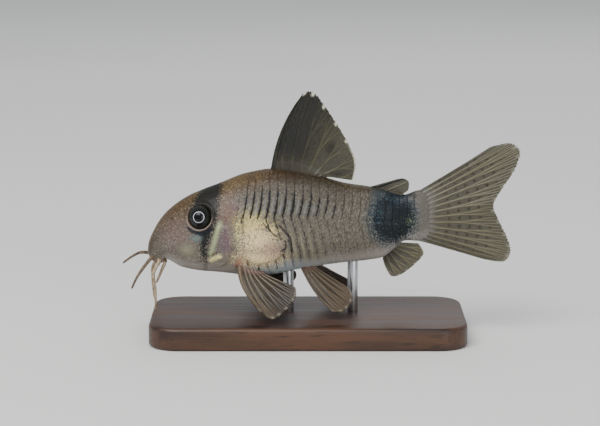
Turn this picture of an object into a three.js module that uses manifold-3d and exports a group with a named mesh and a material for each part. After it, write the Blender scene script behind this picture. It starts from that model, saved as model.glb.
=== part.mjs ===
import * as THREE from "three";
import { mergeVertices } from "three/addons/utils/BufferGeometryUtils.js";
import Module from "manifold-3d";

// A life-size model of a panda corydoras, a small armoured catfish, on a plain display stand.
// Sizes are in millimetres. The head points to -X, the back to +Z, and the fish's left side to -Y.
// The origin is the middle of the stand's underside.

const wasm = await Module();
wasm.setup();

// Driving sizes
const GAP = 0.3; // left between any two pieces that meet
const BASE = { length: 42, width: 21, height: 3, corner: 4, bevel: 0.5 };
const ROD = { radius: 0.7, stations: [-2.6, 6.0], bellyReach: 14 };
const SCUTES = { count: 21, first: -8.4, last: 14.2, rise: 0.15, edge: 0.05, groove: 0.12 };
const MEMBRANE = { half: 0.25, tipHalf: 0.17 }; // half the thickness of a fin between its rays
const RAY = { rise: 0.15, spineRise: 0.32, fork: 0.5 };
const PLATES = { gillCover: 0.3, cheek: 0.16, shoulder: 0.32, orbit: 0.2 }; // how high each stands
const EYE = { x: -14.3, z: 16.55, ball: 1.75, sunk: 1.05, dome: 0.16, sideways: 0.8, orbit: 0.45 };
const NOSTRIL = { x: -18.0, z: 16.2, bore: 0.16, reach: 1.2 };
const BARBEL = { root: 0.34, tip: 0.2, chinRoot: 0.3 };
const LATERAL = { tail: 0.47, shoulder: 0.385 }; // the lateral line's share of the way from back to belly

// Body outline: at each station the ring's top and bottom points in the median plane, its half width,
// how far down it is widest, and how full its upper and lower halves are (2 is an ellipse).
const stations = [
  { at: "flesh end", top: [16.2, 19.2], bottom: [16.2, 13.2], half: 0.35, widest: 0.5, full: [2.0, 2.0] },
  { at: "tail root", top: [15.2, 19.6], bottom: [15.2, 12.8], half: 0.85, widest: 0.5, full: [2.0, 2.0] },
  { at: "tail wrist", top: [12.8, 19.0], bottom: [12.5, 12.6], half: 1.45, widest: 0.5, full: [2.0, 2.0] },
  { at: "adipose fin", top: [11.4, 19.2], bottom: [11.2, 11.4], half: 1.7, widest: 0.52, full: [2.0, 2.0] },
  { at: "anal fin", top: [10.2, 19.7], bottom: [10.1, 10.6], half: 2.0, widest: 0.53, full: [2.0, 2.1] },
  { at: "vent", top: [8.2, 20.1], bottom: [8.2, 10.2], half: 2.45, widest: 0.55, full: [2.0, 2.2] },
  { at: "rear flank", top: [4.9, 20.6], bottom: [4.9, 9.9], half: 3.2, widest: 0.57, full: [1.95, 2.4] },
  { at: "dorsal end", top: [2.3, 21.3], bottom: [2.3, 9.6], half: 3.75, widest: 0.59, full: [1.9, 2.5] },
  { at: "pelvic fins", top: [-1.1, 22.0], bottom: [-1.1, 9.1], half: 4.4, widest: 0.61, full: [1.9, 2.6] },
  { at: "dorsal start", top: [-4.8, 22.5], bottom: [-4.8, 8.4], half: 4.85, widest: 0.62, full: [1.9, 2.7] },
  { at: "shoulder", top: [-7.4, 22.1], bottom: [-8.2, 8.3], half: 5.0, widest: 0.63, full: [1.9, 2.8] },
  { at: "gill opening", top: [-9.0, 21.7], bottom: [-10.5, 8.6], half: 4.95, widest: 0.63, full: [1.9, 2.8] },
  { at: "nape", top: [-11.4, 20.7], bottom: [-12.6, 8.8], half: 4.7, widest: 0.62, full: [1.95, 2.8] },
  { at: "eye", top: [-14.0, 19.7], bottom: [-14.4, 8.9], half: 4.3, widest: 0.6, full: [2.0, 2.7] },
  { at: "brow", top: [-16.0, 18.8], bottom: [-15.8, 9.1], half: 3.85, widest: 0.58, full: [2.1, 2.6] },
  { at: "cheek", top: [-17.8, 17.6], bottom: [-17.0, 9.4], half: 3.4, widest: 0.56, full: [2.2, 2.5] },
  { at: "nostrils", top: [-19.3, 16.2], bottom: [-18.1, 10.0], half: 2.85, widest: 0.55, full: [2.3, 2.4] },
  { at: "snout", top: [-20.6, 14.2], bottom: [-18.9, 10.4], half: 2.35, widest: 0.52, full: [2.3, 2.3] },
  { at: "muzzle", top: [-21.3, 12.5], bottom: [-19.2, 10.4], half: 2.0, widest: 0.5, full: [2.2, 2.2] },
  { at: "upper lip", top: [-21.4, 11.2], bottom: [-19.3, 10.1], half: 1.75, widest: 0.5, full: [2.1, 2.1] },
  { at: "lip edge", top: [-21.0, 10.4], bottom: [-19.6, 9.8], half: 1.45, widest: 0.5, full: [2.0, 2.0] },
  { at: "mouth rim", top: [-20.7, 10.5], bottom: [-19.9, 10.1], half: 1.0, widest: 0.5, full: [2.0, 2.0] },
  { at: "mouth roof", top: [-20.5, 11.3], bottom: [-20.1, 11.1], half: 0.6, widest: 0.5, full: [2.0, 2.0] },
];

// Distance along the body from the tail to each station, the mean of the two outlines.
const knots = stations.reduce((found, here, i) => {
  const before = stations[i - 1];
  const step = before ? (dist(before.top, here.top) + dist(before.bottom, here.bottom)) / 2 : 0;
  return [...found, (found[i - 1] ?? 0) + step];
}, []);
const bodyLength = knots.at(-1);
const knotOf = (name) => knots[stations.findIndex((station) => station.at === name)];
const [snout, upperLip, lips] = ["snout", "upper lip", "lip edge"].map(knotOf);

function dist(a, b) {
  return Math.hypot(a[0] - b[0], a[1] - b[1]);
}

// A smooth curve through one value of each station, at distance s from the tail.
function along(read, s) {
  const last = knots.length - 1;
  let i = knots.findIndex((k, n) => n < last && s < knots[n + 1]);
  if (i < 0) i = last - 1;
  const slope = (n) => {
    const a = Math.max(n - 1, 0);
    const b = Math.min(n + 1, last);
    if (a === n) return (read(stations[b]) - read(stations[n])) / (knots[b] - knots[n]);
    if (b === n) return (read(stations[n]) - read(stations[a])) / (knots[n] - knots[a]);
    const left = (read(stations[n]) - read(stations[a])) / (knots[n] - knots[a]);
    const right = (read(stations[b]) - read(stations[n])) / (knots[b] - knots[n]);
    return (left * (knots[b] - knots[n]) + right * (knots[n] - knots[a])) / (knots[b] - knots[a]);
  };
  const span = knots[i + 1] - knots[i];
  const t = THREE.MathUtils.clamp((s - knots[i]) / span, 0, 1);
  const [p, q] = [read(stations[i]), read(stations[i + 1])];
  const [m, n] = [slope(i) * span, slope(i + 1) * span];
  return p + t * (m + t * (3 * (q - p) - 2 * m - n + t * (2 * (p - q) + m + n)));
}

function ringAt(s) {
  return {
    top: [along((r) => r.top[0], s), along((r) => r.top[1], s)],
    bottom: [along((r) => r.bottom[0], s), along((r) => r.bottom[1], s)],
    half: along((r) => r.half, s),
    widest: along((r) => r.widest, s),
    upper: along((r) => r.full[0], s),
    lower: along((r) => r.full[1], s),
  };
}

// How far down the ring a point at angle a lies (0 at the back, 1 at the belly).
function downAt(ring, a) {
  const c = Math.abs(Math.cos(a));
  if (a <= Math.PI / 2) return ring.widest * (1 - c ** (2 / ring.upper));
  return ring.widest + (1 - ring.widest) * c ** (2 / ring.lower);
}

// Where the two rows of scutes meet, which climbs from the tail to the shoulder.
function lateralAt(s) {
  return THREE.MathUtils.lerp(LATERAL.tail, LATERAL.shoulder, THREE.MathUtils.smoothstep(s, 1, 17));
}

// The scutes' rear edges bend forward where the two rows meet on the lateral line, and a little at the back,
// all less so on the slim tail.
function chevron(s, a) {
  const share = a / Math.PI;
  const line = lateralAt(s);
  const behindGill = THREE.MathUtils.smoothstep(firstEdge + 2.5 - s, 0, 3);
  const depth = THREE.MathUtils.smoothstep(s, 0.2, 14);
  const up = (line - share) / line;
  const low = (share - line) / (1 - line);
  const upper = 0.8 * (1 - Math.exp(-4.5 * up)) - 0.5 * up * up;
  const lower = 1.7 * (1 - Math.exp(-3.5 * low));
  return behindGill * depth * (0.5 - (share < line ? upper : lower));
}

// A point on the flesh, at distance s from the tail and angle a from the back, on side +1 or -1.
function bare(s, a, side) {
  const ring = ringAt(THREE.MathUtils.clamp(s + chevron(s, a), 0, bodyLength));
  const down = downAt(ring, a);
  const full = a <= Math.PI / 2 ? ring.upper : ring.lower;
  return new THREE.Vector3(
    THREE.MathUtils.lerp(ring.top[0], ring.bottom[0], down),
    side * ring.half * Math.abs(Math.sin(a)) ** (2 / full),
    THREE.MathUtils.lerp(ring.top[1], ring.bottom[1], down),
  );
}

function normalAt(s, a, side) {
  const [ds, da] = [0.08, 0.04];
  const [lowA, highA] = [Math.max(a - da, 0.001), Math.min(a + da, Math.PI - 0.001)];
  const alongBody = bare(Math.min(s + ds, bodyLength), a, side).sub(bare(Math.max(s - ds, 0), a, side));
  const downBody = bare(s, highA, side).sub(bare(s, lowA, side));
  const normal = alongBody.cross(downBody).normalize().multiplyScalar(-side);
  if (a < 0.001 || a > Math.PI - 0.001) normal.setY(0).normalize();
  return normal;
}

function skin(s, a, side, lift = 0) {
  return bare(s, a, side).addScaledVector(normalAt(s, a, side), lift);
}

// The place on the flesh that a side view shows at (x, z).
function locate(x, z) {
  const across = (s) => {
    const { top, bottom } = ringAt(s);
    return (x - top[0]) * (bottom[1] - top[1]) - (z - top[1]) * (bottom[0] - top[0]);
  };
  let [near, far] = [0, upperLip];
  for (let i = 0; i < 40; i++) {
    const mid = (near + far) / 2;
    if (across(mid) * across(near) > 0) near = mid;
    else far = mid;
  }
  const ring = ringAt(near);
  const wanted = dist([x, z], ring.top) / dist(ring.bottom, ring.top);
  let [a, b] = [0, Math.PI];
  for (let i = 0; i < 40; i++) {
    if (downAt(ring, (a + b) / 2) < wanted) a = (a + b) / 2;
    else b = (a + b) / 2;
  }
  return { s: near, a };
}

const distanceAt = (x, z = 15) => locate(x, z).s;
const firstEdge = distanceAt(SCUTES.first);
const lastEdge = distanceAt(SCUTES.last);
const pitch = (firstEdge - lastEdge) / SCUTES.count;

// A closed solid from a list of vertices and triangles.
function solidOf(points, triangles) {
  const geometry = new THREE.BufferGeometry();
  const places = points.flatMap((p) => [p.x, p.y, p.z]);
  geometry.setAttribute("position", new THREE.Float32BufferAttribute(places, 3));
  geometry.setIndex(triangles.flat());
  return manifoldOf(geometry);
}

function manifoldOf(geometry) {
  const plain = geometry.clone();
  plain.deleteAttribute("normal");
  plain.deleteAttribute("uv");
  const merged = mergeVertices(plain, 1e-4);
  const vertProperties = merged.attributes.position.array;
  const triVerts = new Uint32Array(merged.index.array);
  const make = () => new wasm.Manifold(new wasm.Mesh({ numProp: 3, vertProperties, triVerts }));
  const solid = make();
  if (solid.volume() > 0) return solid;
  // Turns each triangle round, so that the faces look outwards.
  for (let i = 0; i < triVerts.length; i += 3) {
    [triVerts[i + 1], triVerts[i + 2]] = [triVerts[i + 2], triVerts[i + 1]];
  }
  return make();
}

function largest(solid) {
  return solid.decompose().reduce((best, one) => (one.volume() > best.volume() ? one : best));
}

// Closed rings of equal counts joined into a tube, with a fan over each end.
function tubeOf(rings) {
  const n = rings[0].length;
  const points = rings.flat();
  const triangles = [];
  for (let i = 0; i + 1 < rings.length; i++)
    for (let j = 0; j < n; j++) {
      const [a, b] = [i * n + j, i * n + ((j + 1) % n)];
      triangles.push([a, b, b + n], [a, b + n, a + n]);
    }
  for (const [ring, first] of [[rings[0], 0], [rings.at(-1), (rings.length - 1) * n]]) {
    const hub = ring.reduce((sum, p) => sum.add(p), new THREE.Vector3()).divideScalar(n);
    points.push(hub);
    for (let j = 0; j < n; j++) {
      const [a, b] = [first + j, first + ((j + 1) % n)];
      triangles.push(first ? [a, b, points.length - 1] : [b, a, points.length - 1]);
    }
  }
  return solidOf(points, triangles);
}

// Angles round one side of a ring, as shares of the way down to the lateral line and on from it to the belly.
const aboveLine = [0, 0.19, 0.38, 0.57, 0.77, 0.92];
const belowLine = [0, 0.08, 0.21, 0.36, 0.53, 0.72, 0.87, 1];

function bodyRing(s, lift) {
  const line = lateralAt(s);
  const shares = [...aboveLine.map((v) => v * line), ...belowLine.map((v) => line + v * (1 - line))];
  const angles = shares.map((v) => v * Math.PI);
  const left = angles.map((a) => skin(s, a, -1, lift(a)));
  const right = angles.slice(1, -1).reverse().map((a) => skin(s, a, 1, lift(a)));
  return [...left, ...right];
}

function steps(from, to, count) {
  return Array.from({ length: count + 1 }, (_, i) => from + ((to - from) * i) / count);
}

// How high a scute of some rise stands at angle a: not at all on the naked belly, sunk on the lateral line.
function scuteLift(rise, s, a) {
  const share = a / Math.PI;
  if (Math.abs(share - lateralAt(s)) < 0.01) return rise - SCUTES.groove;
  return rise * THREE.MathUtils.smoothstep(1 - share, 0.08, 0.2);
}

// Rings from one distance to another, with a pair at each scute's rear edge.
function armouredRings(from, to) {
  const rings = [];
  const plain = (s, rise) => rings.push(bodyRing(s, (a) => scuteLift(rise, s, a)));
  plain(from, 0);
  for (let k = 0; k <= SCUTES.count; k++) {
    const edge = lastEdge + k * pitch;
    if (edge < from + SCUTES.edge * 2 || edge > to - SCUTES.edge * 2) continue;
    plain(edge - SCUTES.edge, 0);
    plain(edge + SCUTES.edge, SCUTES.rise);
  }
  plain(to, 0);
  return rings;
}

// A low plate lying on one flank, drawn by its outline in the side view. It rises towards its rear edge from
// a share of its full height, and stays between two distances from the tail.
function plate(outline, rise, side, { start = 0.15, within = [0, bodyLength], around = 16 } = {}) {
  const loop = new THREE.CatmullRomCurve3(outline.map(([x, z]) => new THREE.Vector3(x, 0, z)), true);
  const rim = loop.getSpacedPoints(around).slice(0, around);
  const middle = rim.reduce((sum, p) => sum.add(p), new THREE.Vector3()).divideScalar(around);
  const [front, rear] = [Math.min(...rim.map((p) => p.x)), Math.max(...rim.map((p) => p.x))];
  const on = (p, share, lift) => {
    const at = middle.clone().lerp(p, share);
    const { s, a } = locate(at.x, at.z);
    const back = THREE.MathUtils.clamp((at.x - front) / (rear - front), 0, 1);
    return skin(THREE.MathUtils.clamp(s, ...within), a, side, lift(back));
  };
  const high = (back) => rise * (start + (1 - start) * back);
  const layers = [
    [0.5, high],
    [0.93, high],
    [1, (back) => high(back) * 0.3 - 0.03],
    [1, () => -0.5],
    [0.5, () => -0.6],
  ];
  return tubeOf(layers.map(([share, lift]) => rim.map((p) => on(p, share, lift))));
}

function smooth(points) {
  return new THREE.CatmullRomCurve3(points.map((p) => new THREE.Vector3(...p)), false, "centripetal");
}

// A fin: rays fan out from the root line to the margin, each a ridge on both faces that forks near its tip.
// The leading ray is a stout spine where spine is set, and bow bends the rays in the fin's plane.
function fin({ root, margin, rays, spine = 0, bow = [0, 0, 0], sunk = 0.25, rows = 8, forked = true }) {
  const [rootLine, marginLine] = [smooth(root), smooth(margin)];
  const step = 1 / (rays - 1);
  const columns = [];
  for (let i = 0; i < rays; i++) {
    const isSpine = spine > 0 && i === 0;
    const forks = forked && !isSpine;
    const centre = i * step;
    const spread = forks ? 0.22 * step : 0.12 * step;
    const parts = [[-spread, "side"], [0, "middle"], [spread, "side"]];
    for (const [shift, part] of parts) {
      const t = THREE.MathUtils.clamp(centre + shift, 0, 1);
      if (Math.abs(t - centre - shift) < 1e-6) columns.push({ t, part, isSpine, forks });
    }
    if (i + 1 < rays) columns.push({ t: centre + step / 2, part: "web" });
  }
  const bend = new THREE.Vector3(...bow);
  const place = (t, r) => {
    const from = rootLine.getPoint(t);
    const to = marginLine.getPoint(t);
    return from.lerp(to, r).addScaledVector(bend, 4 * Math.max(r, 0) * (1 - r) * (1 - t));
  };
  const half = ({ part, isSpine, forks }, r) => {
    const web = THREE.MathUtils.lerp(MEMBRANE.half, MEMBRANE.tipHalf, Math.max(r, 0));
    const split = forks ? THREE.MathUtils.smoothstep(r, RAY.fork, 0.8) : 0;
    const spineRise = RAY.spineRise * (1 - 0.6 * Math.max(r, 0)) * (part === "middle" ? 1 : 0.7);
    const ridge = isSpine ? spineRise : RAY.rise;
    if (part === "web") return web;
    if (part === "side") return web + (isSpine ? ridge : ridge * split);
    return web + ridge * (1 - 0.8 * split);
  };
  const faceOf = (direction) =>
    columns.map((column) =>
      steps(-sunk, 1, rows).map((r) => {
        const reach = r * (column.part === "web" && r > 0.99 ? 0.965 : 1);
        const d = 0.01;
        const across = place(Math.min(column.t + d, 1), reach).sub(place(Math.max(column.t - d, 0), reach));
        const out = place(column.t, reach + d).sub(place(column.t, reach - d));
        const normal = across.cross(out).normalize();
        return place(column.t, reach).addScaledVector(normal, direction * half(column, reach));
      }),
    );
  // Each column becomes a closed loop, front face out and back face home, so both faces split alike.
  const [front, back] = [faceOf(1), faceOf(-1)];
  return finSolid(front, back);
}

function finSolid(front, back) {
  const [across, up] = [front.length, front[0].length];
  const points = [...front.flat(), ...back.flat()];
  const f = (i, j) => i * up + j;
  const b = (i, j) => across * up + f(i, j);
  const triangles = [];
  for (let i = 0; i + 1 < across; i++) {
    for (let j = 0; j + 1 < up; j++) {
      triangles.push([f(i, j), f(i + 1, j), f(i + 1, j + 1)], [f(i, j), f(i + 1, j + 1), f(i, j + 1)]);
      triangles.push([b(i, j), b(i + 1, j + 1), b(i + 1, j)], [b(i, j), b(i, j + 1), b(i + 1, j + 1)]);
    }
    triangles.push([f(i, 0), b(i, 0), b(i + 1, 0)], [f(i, 0), b(i + 1, 0), f(i + 1, 0)]);
    const top = up - 1;
    triangles.push([f(i, top), b(i + 1, top), b(i, top)], [f(i, top), f(i + 1, top), b(i + 1, top)]);
  }
  const edge = across - 1;
  for (let j = 0; j + 1 < up; j++) {
    triangles.push([f(0, j), f(0, j + 1), b(0, j + 1)], [f(0, j), b(0, j + 1), b(0, j)]);
    triangles.push([f(edge, j), b(edge, j + 1), f(edge, j + 1)], [f(edge, j), b(edge, j), b(edge, j + 1)]);
  }
  return solidOf(points, triangles);
}

// A round feeler that tapers along a curve.
function feeler(points, rootRadius, tipRadius, count = 12, sides = 8) {
  const curve = smooth(points);
  const frames = curve.computeFrenetFrames(count, false);
  const rings = steps(0, 1, count).map((t, i) => {
    const radius = THREE.MathUtils.lerp(rootRadius, tipRadius, t);
    return Array.from({ length: sides }, (_, k) => {
      const turn = (2 * Math.PI * k) / sides;
      return curve
        .getPointAt(t)
        .addScaledVector(frames.normals[i], radius * Math.cos(turn))
        .addScaledVector(frames.binormals[i], radius * Math.sin(turn));
    });
  });
  return tubeOf(rings);
}

// Turns a solid that was made round the Z axis to point along a direction, at a place.
function aim(geometry, place, direction) {
  const upright = new THREE.Vector3(0, 0, 1);
  const turn = new THREE.Quaternion().setFromUnitVectors(upright, direction.clone().normalize());
  return geometry.applyQuaternion(turn).translate(place.x, place.y, place.z);
}

const flip = (points, side) => points.map(([x, y, z]) => [x, y * side, z]);

// The whole body, grown by the gap, which the fins, feelers and rods are cut back from.
const beyondTail = bodyRing(0, () => GAP).map((p) => p.setX(p.x + GAP));
const grownRings = steps(0, lips, 56).map((s) => bodyRing(s, () => GAP + SCUTES.rise * 0.6));
const grown = tubeOf([beyondTail, ...grownRings]);
const trim = (solid) => largest(solid.subtract(grown));

// Eyes: a ball with a clear dome over the pupil.
function eyeAxis(side) {
  const { s, a } = locate(EYE.x, EYE.z);
  const normal = normalAt(s, a, side).add(new THREE.Vector3(0, EYE.sideways * side, 0)).normalize();
  return { normal, centre: bare(s, a, side).addScaledVector(normal, -EYE.sunk) };
}

function eye(side, grow = 0) {
  const outline = steps(0, Math.PI, 14).map((t) => {
    const dome = EYE.dome * Math.exp(-((t / 0.5) ** 4));
    const r = EYE.ball + grow + dome;
    return new THREE.Vector2(Math.abs(r * Math.sin(t)), r * Math.cos(t));
  });
  outline[0].x = outline.at(-1).x = 0;
  const { normal, centre } = eyeAxis(side);
  const ball = new THREE.LatheGeometry(outline.reverse(), 18).rotateX(Math.PI / 2);
  return manifoldOf(aim(ball, centre, normal));
}

// Raised rim of bone and skin round the eye.
function orbit(side) {
  const radius = EYE.ball + EYE.orbit;
  const turns = steps(0, 2 * Math.PI, 8).slice(1);
  const outline = turns.map((t) => [EYE.x + radius * Math.cos(t), EYE.z + radius * Math.sin(t)]);
  return plate(outline, PLATES.orbit, side, { start: 1 });
}

function nostril(side) {
  const { s, a } = locate(NOSTRIL.x, NOSTRIL.z);
  const wall = [[0.14, -0.6], [0.42, -0.6], [0.4, 0.12], [0.3, 0.24], [0.16, 0.2], [0.14, -0.6]];
  const outline = wall.map(([r, h]) => new THREE.Vector2(r, h));
  const pipe = new THREE.LatheGeometry(outline, 12).rotateX(Math.PI / 2);
  return { place: bare(s, a, side), normal: normalAt(s, a, side), pipe };
}

function nostrilPit(side) {
  const { place, normal } = nostril(side);
  const drill = new THREE.CylinderGeometry(NOSTRIL.bore, NOSTRIL.bore, NOSTRIL.reach, 10);
  return manifoldOf(aim(drill.rotateX(Math.PI / 2), place, normal));
}

// Gill cover, the cheek plate in front of it and the shoulder plate behind it, as side-view outlines.
const gillCover = [
  [-12.4, 15.0], [-10.9, 15.5], [-9.9, 14.6], [-9.8, 13.0],
  [-10.3, 11.2], [-11.3, 10.1], [-12.8, 10.0], [-13.1, 12.0],
];
const cheekPlate = [
  [-15.6, 13.6], [-13.9, 13.9], [-13.2, 12.9], [-13.4, 11.4],
  [-14.6, 10.5], [-16.4, 10.7], [-16.8, 12.2],
];
const shoulderPlate = [
  [-8.0, 16.3], [-6.2, 16.2], [-4.5, 14.6], [-3.0, 13.4],
  [-3.1, 12.0], [-4.8, 10.8], [-7.5, 10.6], [-8.6, 12.8],
];

const gillEdge = distanceAt(-9.75, 15);
const tailEdge = distanceAt(9.7, 15);

function head() {
  const rings = [
    ...steps(gillEdge, snout, 14).map((s) => bodyRing(s, () => 0)),
    ...steps(snout, bodyLength, 12).slice(1).map((s) => bodyRing(s, () => 0)),
  ];
  const within = [gillEdge + 0.03, bodyLength];
  const pieces = [tubeOf(rings)];
  for (const side of [1, -1]) {
    pieces.push(plate(gillCover, PLATES.gillCover, side, { within }));
    pieces.push(plate(cheekPlate, PLATES.cheek, side), orbit(side));
    const { place, normal, pipe } = nostril(side);
    pieces.push(manifoldOf(aim(pipe, place, normal)));
  }
  let solid = wasm.Manifold.union(pieces);
  for (const side of [1, -1]) solid = solid.subtract(eye(side, GAP)).subtract(nostrilPit(side));
  return largest(solid);
}

function torso() {
  const front = gillEdge - GAP;
  const pieces = [tubeOf(armouredRings(tailEdge, front))];
  const within = [0, front - 0.03];
  const options = { start: 0.75, within };
  for (const side of [1, -1]) pieces.push(plate(shoulderPlate, PLATES.shoulder, side, options));
  return largest(wasm.Manifold.union(pieces));
}

function tailStem() {
  return tubeOf(armouredRings(0, tailEdge - GAP));
}

// Fins: the root line and the margin run from the leading ray to the last one.
function dorsalFin() {
  return trim(fin({
    root: [[-4.9, 0, 22.7], [-1.9, 0, 22.45], [0.9, 0, 21.9], [2.6, 0, 21.4]],
    margin: [
      [-1.2, 0, 31.8], [-0.3, 0, 32.8], [0.8, 0.1, 32.7], [2.2, 0.2, 31.0],
      [3.8, 0.25, 28.6], [5.2, 0.3, 26.2], [6.4, 0.2, 23.4], [6.1, 0, 20.9],
    ],
    rays: 8,
    spine: 1,
    bow: [-0.55, 0, 0.3],
    sunk: 0.12,
    rows: 9,
  }));
}

function adiposeFin() {
  return trim(fin({
    root: [[8.8, 0, 20.2], [10.6, 0, 19.6], [12.7, 0, 19.1]],
    margin: [[12.6, 0, 21.3], [13.4, 0, 20.8], [13.5, 0, 19.7]],
    rays: 3,
    spine: 1,
    sunk: 0.25,
    rows: 6,
    forked: false,
  }));
}

function caudalFin() {
  return trim(fin({
    root: [[15.1, 0, 19.7], [16.0, 0, 18.2], [16.2, 0, 16.2], [16.0, 0, 14.2], [15.1, 0, 12.7]],
    margin: [
      [24.6, 0.5, 25.5], [27.2, 0.8, 25.8], [28.3, 0.9, 24.8], [27.8, 0.7, 22.6],
      [26.0, 0.3, 19.8], [24.8, 0, 17.6], [25.5, 0.3, 15.6],
      [26.7, 0.7, 13.2], [27.3, 0.9, 11.2], [26.6, 0.8, 9.8], [24.0, 0.5, 10.0],
    ],
    rays: 14,
    sunk: 0.1,
    rows: 8,
  }));
}

function analFin() {
  return trim(fin({
    root: [[10.0, 0, 10.6], [11.2, 0, 11.5], [12.4, 0, 12.5]],
    margin: [[11.4, 0, 7.6], [12.8, 0, 8.3], [14.4, 0, 9.6], [15.5, 0, 11.0], [15.0, 0, 12.4]],
    rays: 7,
    bow: [-0.3, 0, 0],
    sunk: 0.25,
    rows: 7,
  }));
}

function pectoralFin(side) {
  return trim(fin({
    root: flip([[-9.3, -4.3, 10.3], [-8.2, -4.4, 9.6], [-7.0, -4.3, 9.2], [-6.0, -4.0, 9.0]], -side),
    margin: flip([
      [-6.0, -8.4, 4.6], [-4.7, -8.6, 3.9], [-3.2, -8.0, 4.6], [-1.7, -6.6, 6.2], [-1.4, -5.3, 7.4],
    ], -side),
    rays: 8,
    spine: 1,
    bow: flip([[-0.9, -0.3, 0.2]], -side)[0],
    sunk: 0.25,
    rows: 8,
  }));
}

function pelvicFin(side) {
  return trim(fin({
    root: flip([[-0.9, -2.3, 9.5], [0.1, -2.2, 9.4], [0.9, -1.9, 9.5]], -side),
    margin: flip([[3.6, -5.6, 3.9], [5.0, -5.0, 4.4], [5.9, -4.0, 5.6], [5.6, -3.0, 6.8]], -side),
    rays: 6,
    bow: flip([[-0.4, -0.3, -0.2]], -side)[0],
    sunk: 0.25,
    rows: 7,
  }));
}

// Feelers round the mouth: an upper and a lower pair at its corners and a short pair on the chin. Each starts
// in the lip, at an angle from the front of the mouth, and then runs free.
function barbel(side, angle, path, root = BARBEL.root, count = 12) {
  const inLip = [-0.7, 0.35].map((lift) => skin(upperLip, angle * Math.PI, side, lift).toArray());
  return trim(feeler([...inLip, ...path], root, BARBEL.tip, count));
}

const upperBarbels = {
  left: [[-22.0, -2.6, 9.4], [-22.8, -3.2, 8.2], [-23.4, -3.6, 6.9]],
  right: [[-22.6, 2.8, 10.6], [-23.8, 3.6, 9.9], [-25.2, 4.3, 8.8]],
};
const lowerBarbels = {
  left: [[-20.5, -2.6, 8.9], [-20.3, -2.6, 6.4], [-20.3, -2.5, 3.7]],
  right: [[-20.9, 2.7, 8.9], [-21.0, 2.9, 6.6], [-20.8, 2.9, 4.2]],
};
const chinPath = [[-19.5, -1.2, 9.0], [-19.9, -1.2, 8.0], [-20.3, -1.1, 7.2]];

function standBase() {
  const { length, width, height, corner, bevel } = BASE;
  const [x, y] = [length / 2 - bevel, width / 2 - bevel];
  const outline = new THREE.Shape();
  outline.moveTo(-x + corner, -y).lineTo(x - corner, -y).quadraticCurveTo(x, -y, x, -y + corner);
  outline.lineTo(x, y - corner).quadraticCurveTo(x, y, x - corner, y);
  outline.lineTo(-x + corner, y).quadraticCurveTo(-x, y, -x, y - corner);
  outline.lineTo(-x, -y + corner).quadraticCurveTo(-x, -y, -x + corner, -y);
  const slab = new THREE.ExtrudeGeometry(outline, {
    depth: height - 2 * bevel,
    bevelThickness: bevel,
    bevelSize: bevel,
    bevelSegments: 2,
    curveSegments: 6,
  });
  return manifoldOf(slab.translate(0, 0, bevel));
}

function standRod(x) {
  const foot = BASE.height + GAP;
  const rod = new THREE.CylinderGeometry(ROD.radius, ROD.radius, ROD.bellyReach - foot, 16);
  const middle = (foot + ROD.bellyReach) / 2;
  return trim(manifoldOf(rod.rotateX(Math.PI / 2).translate(x, 0, middle)));
}

const finishes = {
  flesh: new THREE.MeshStandardMaterial({ color: 0x9a8b7e, roughness: 0.4, metalness: 0 }),
  fins: new THREE.MeshStandardMaterial({ color: 0x8a8474, roughness: 0.45, metalness: 0 }),
  feelers: new THREE.MeshStandardMaterial({ color: 0xb5a593, roughness: 0.5, metalness: 0 }),
  eyes: new THREE.MeshStandardMaterial({ color: 0x101418, roughness: 0.1, metalness: 0 }),
  base: new THREE.MeshStandardMaterial({ color: 0x2a2522, roughness: 0.4, metalness: 0 }),
  rods: new THREE.MeshStandardMaterial({ color: 0xb9bcbf, roughness: 0.3, metalness: 1 }),
};

const corydoras = new THREE.Group();

function add(name, solid, material) {
  const { numProp, vertProperties, triVerts } = solid.getMesh();
  const geometry = new THREE.BufferGeometry();
  const count = vertProperties.length / numProp;
  const points = new Float32Array(count * 3);
  for (let i = 0; i < count; i++) points.set(vertProperties.subarray(i * numProp, i * numProp + 3), i * 3);
  geometry.setAttribute("position", new THREE.BufferAttribute(points, 3));
  geometry.setIndex(new THREE.BufferAttribute(triVerts, 1));
  geometry.computeVertexNormals();
  const mesh = new THREE.Mesh(geometry, material);
  mesh.name = name;
  corydoras.add(mesh);
}

add("head", head(), finishes.flesh);
add("torso", torso(), finishes.flesh);
add("tail_stem", tailStem(), finishes.flesh);
add("dorsal_fin", dorsalFin(), finishes.fins);
add("adipose_fin", adiposeFin(), finishes.fins);
add("caudal_fin", caudalFin(), finishes.fins);
add("anal_fin", analFin(), finishes.fins);
for (const [side, word] of [[-1, "left"], [1, "right"]]) {
  add(`eye_${word}`, eye(side), finishes.eyes);
  add(`pectoral_fin_${word}`, pectoralFin(side), finishes.fins);
  add(`pelvic_fin_${word}`, pelvicFin(side), finishes.fins);
  add(`upper_barbel_${word}`, barbel(side, 0.4, upperBarbels[word]), finishes.feelers);
  add(`lower_barbel_${word}`, barbel(side, 0.62, lowerBarbels[word]), finishes.feelers);
  add(`chin_barbel_${word}`, barbel(side, 0.86, flip(chinPath, -side), BARBEL.chinRoot, 8), finishes.feelers);
}
add("stand_base", standBase(), finishes.base);
ROD.stations.forEach((x, i) => add(`stand_rod_${["front", "rear"][i]}`, standRod(x), finishes.rods));

export default corydoras;
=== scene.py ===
import math
import bpy
import numpy as np
from mathutils import Matrix, Vector


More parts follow.
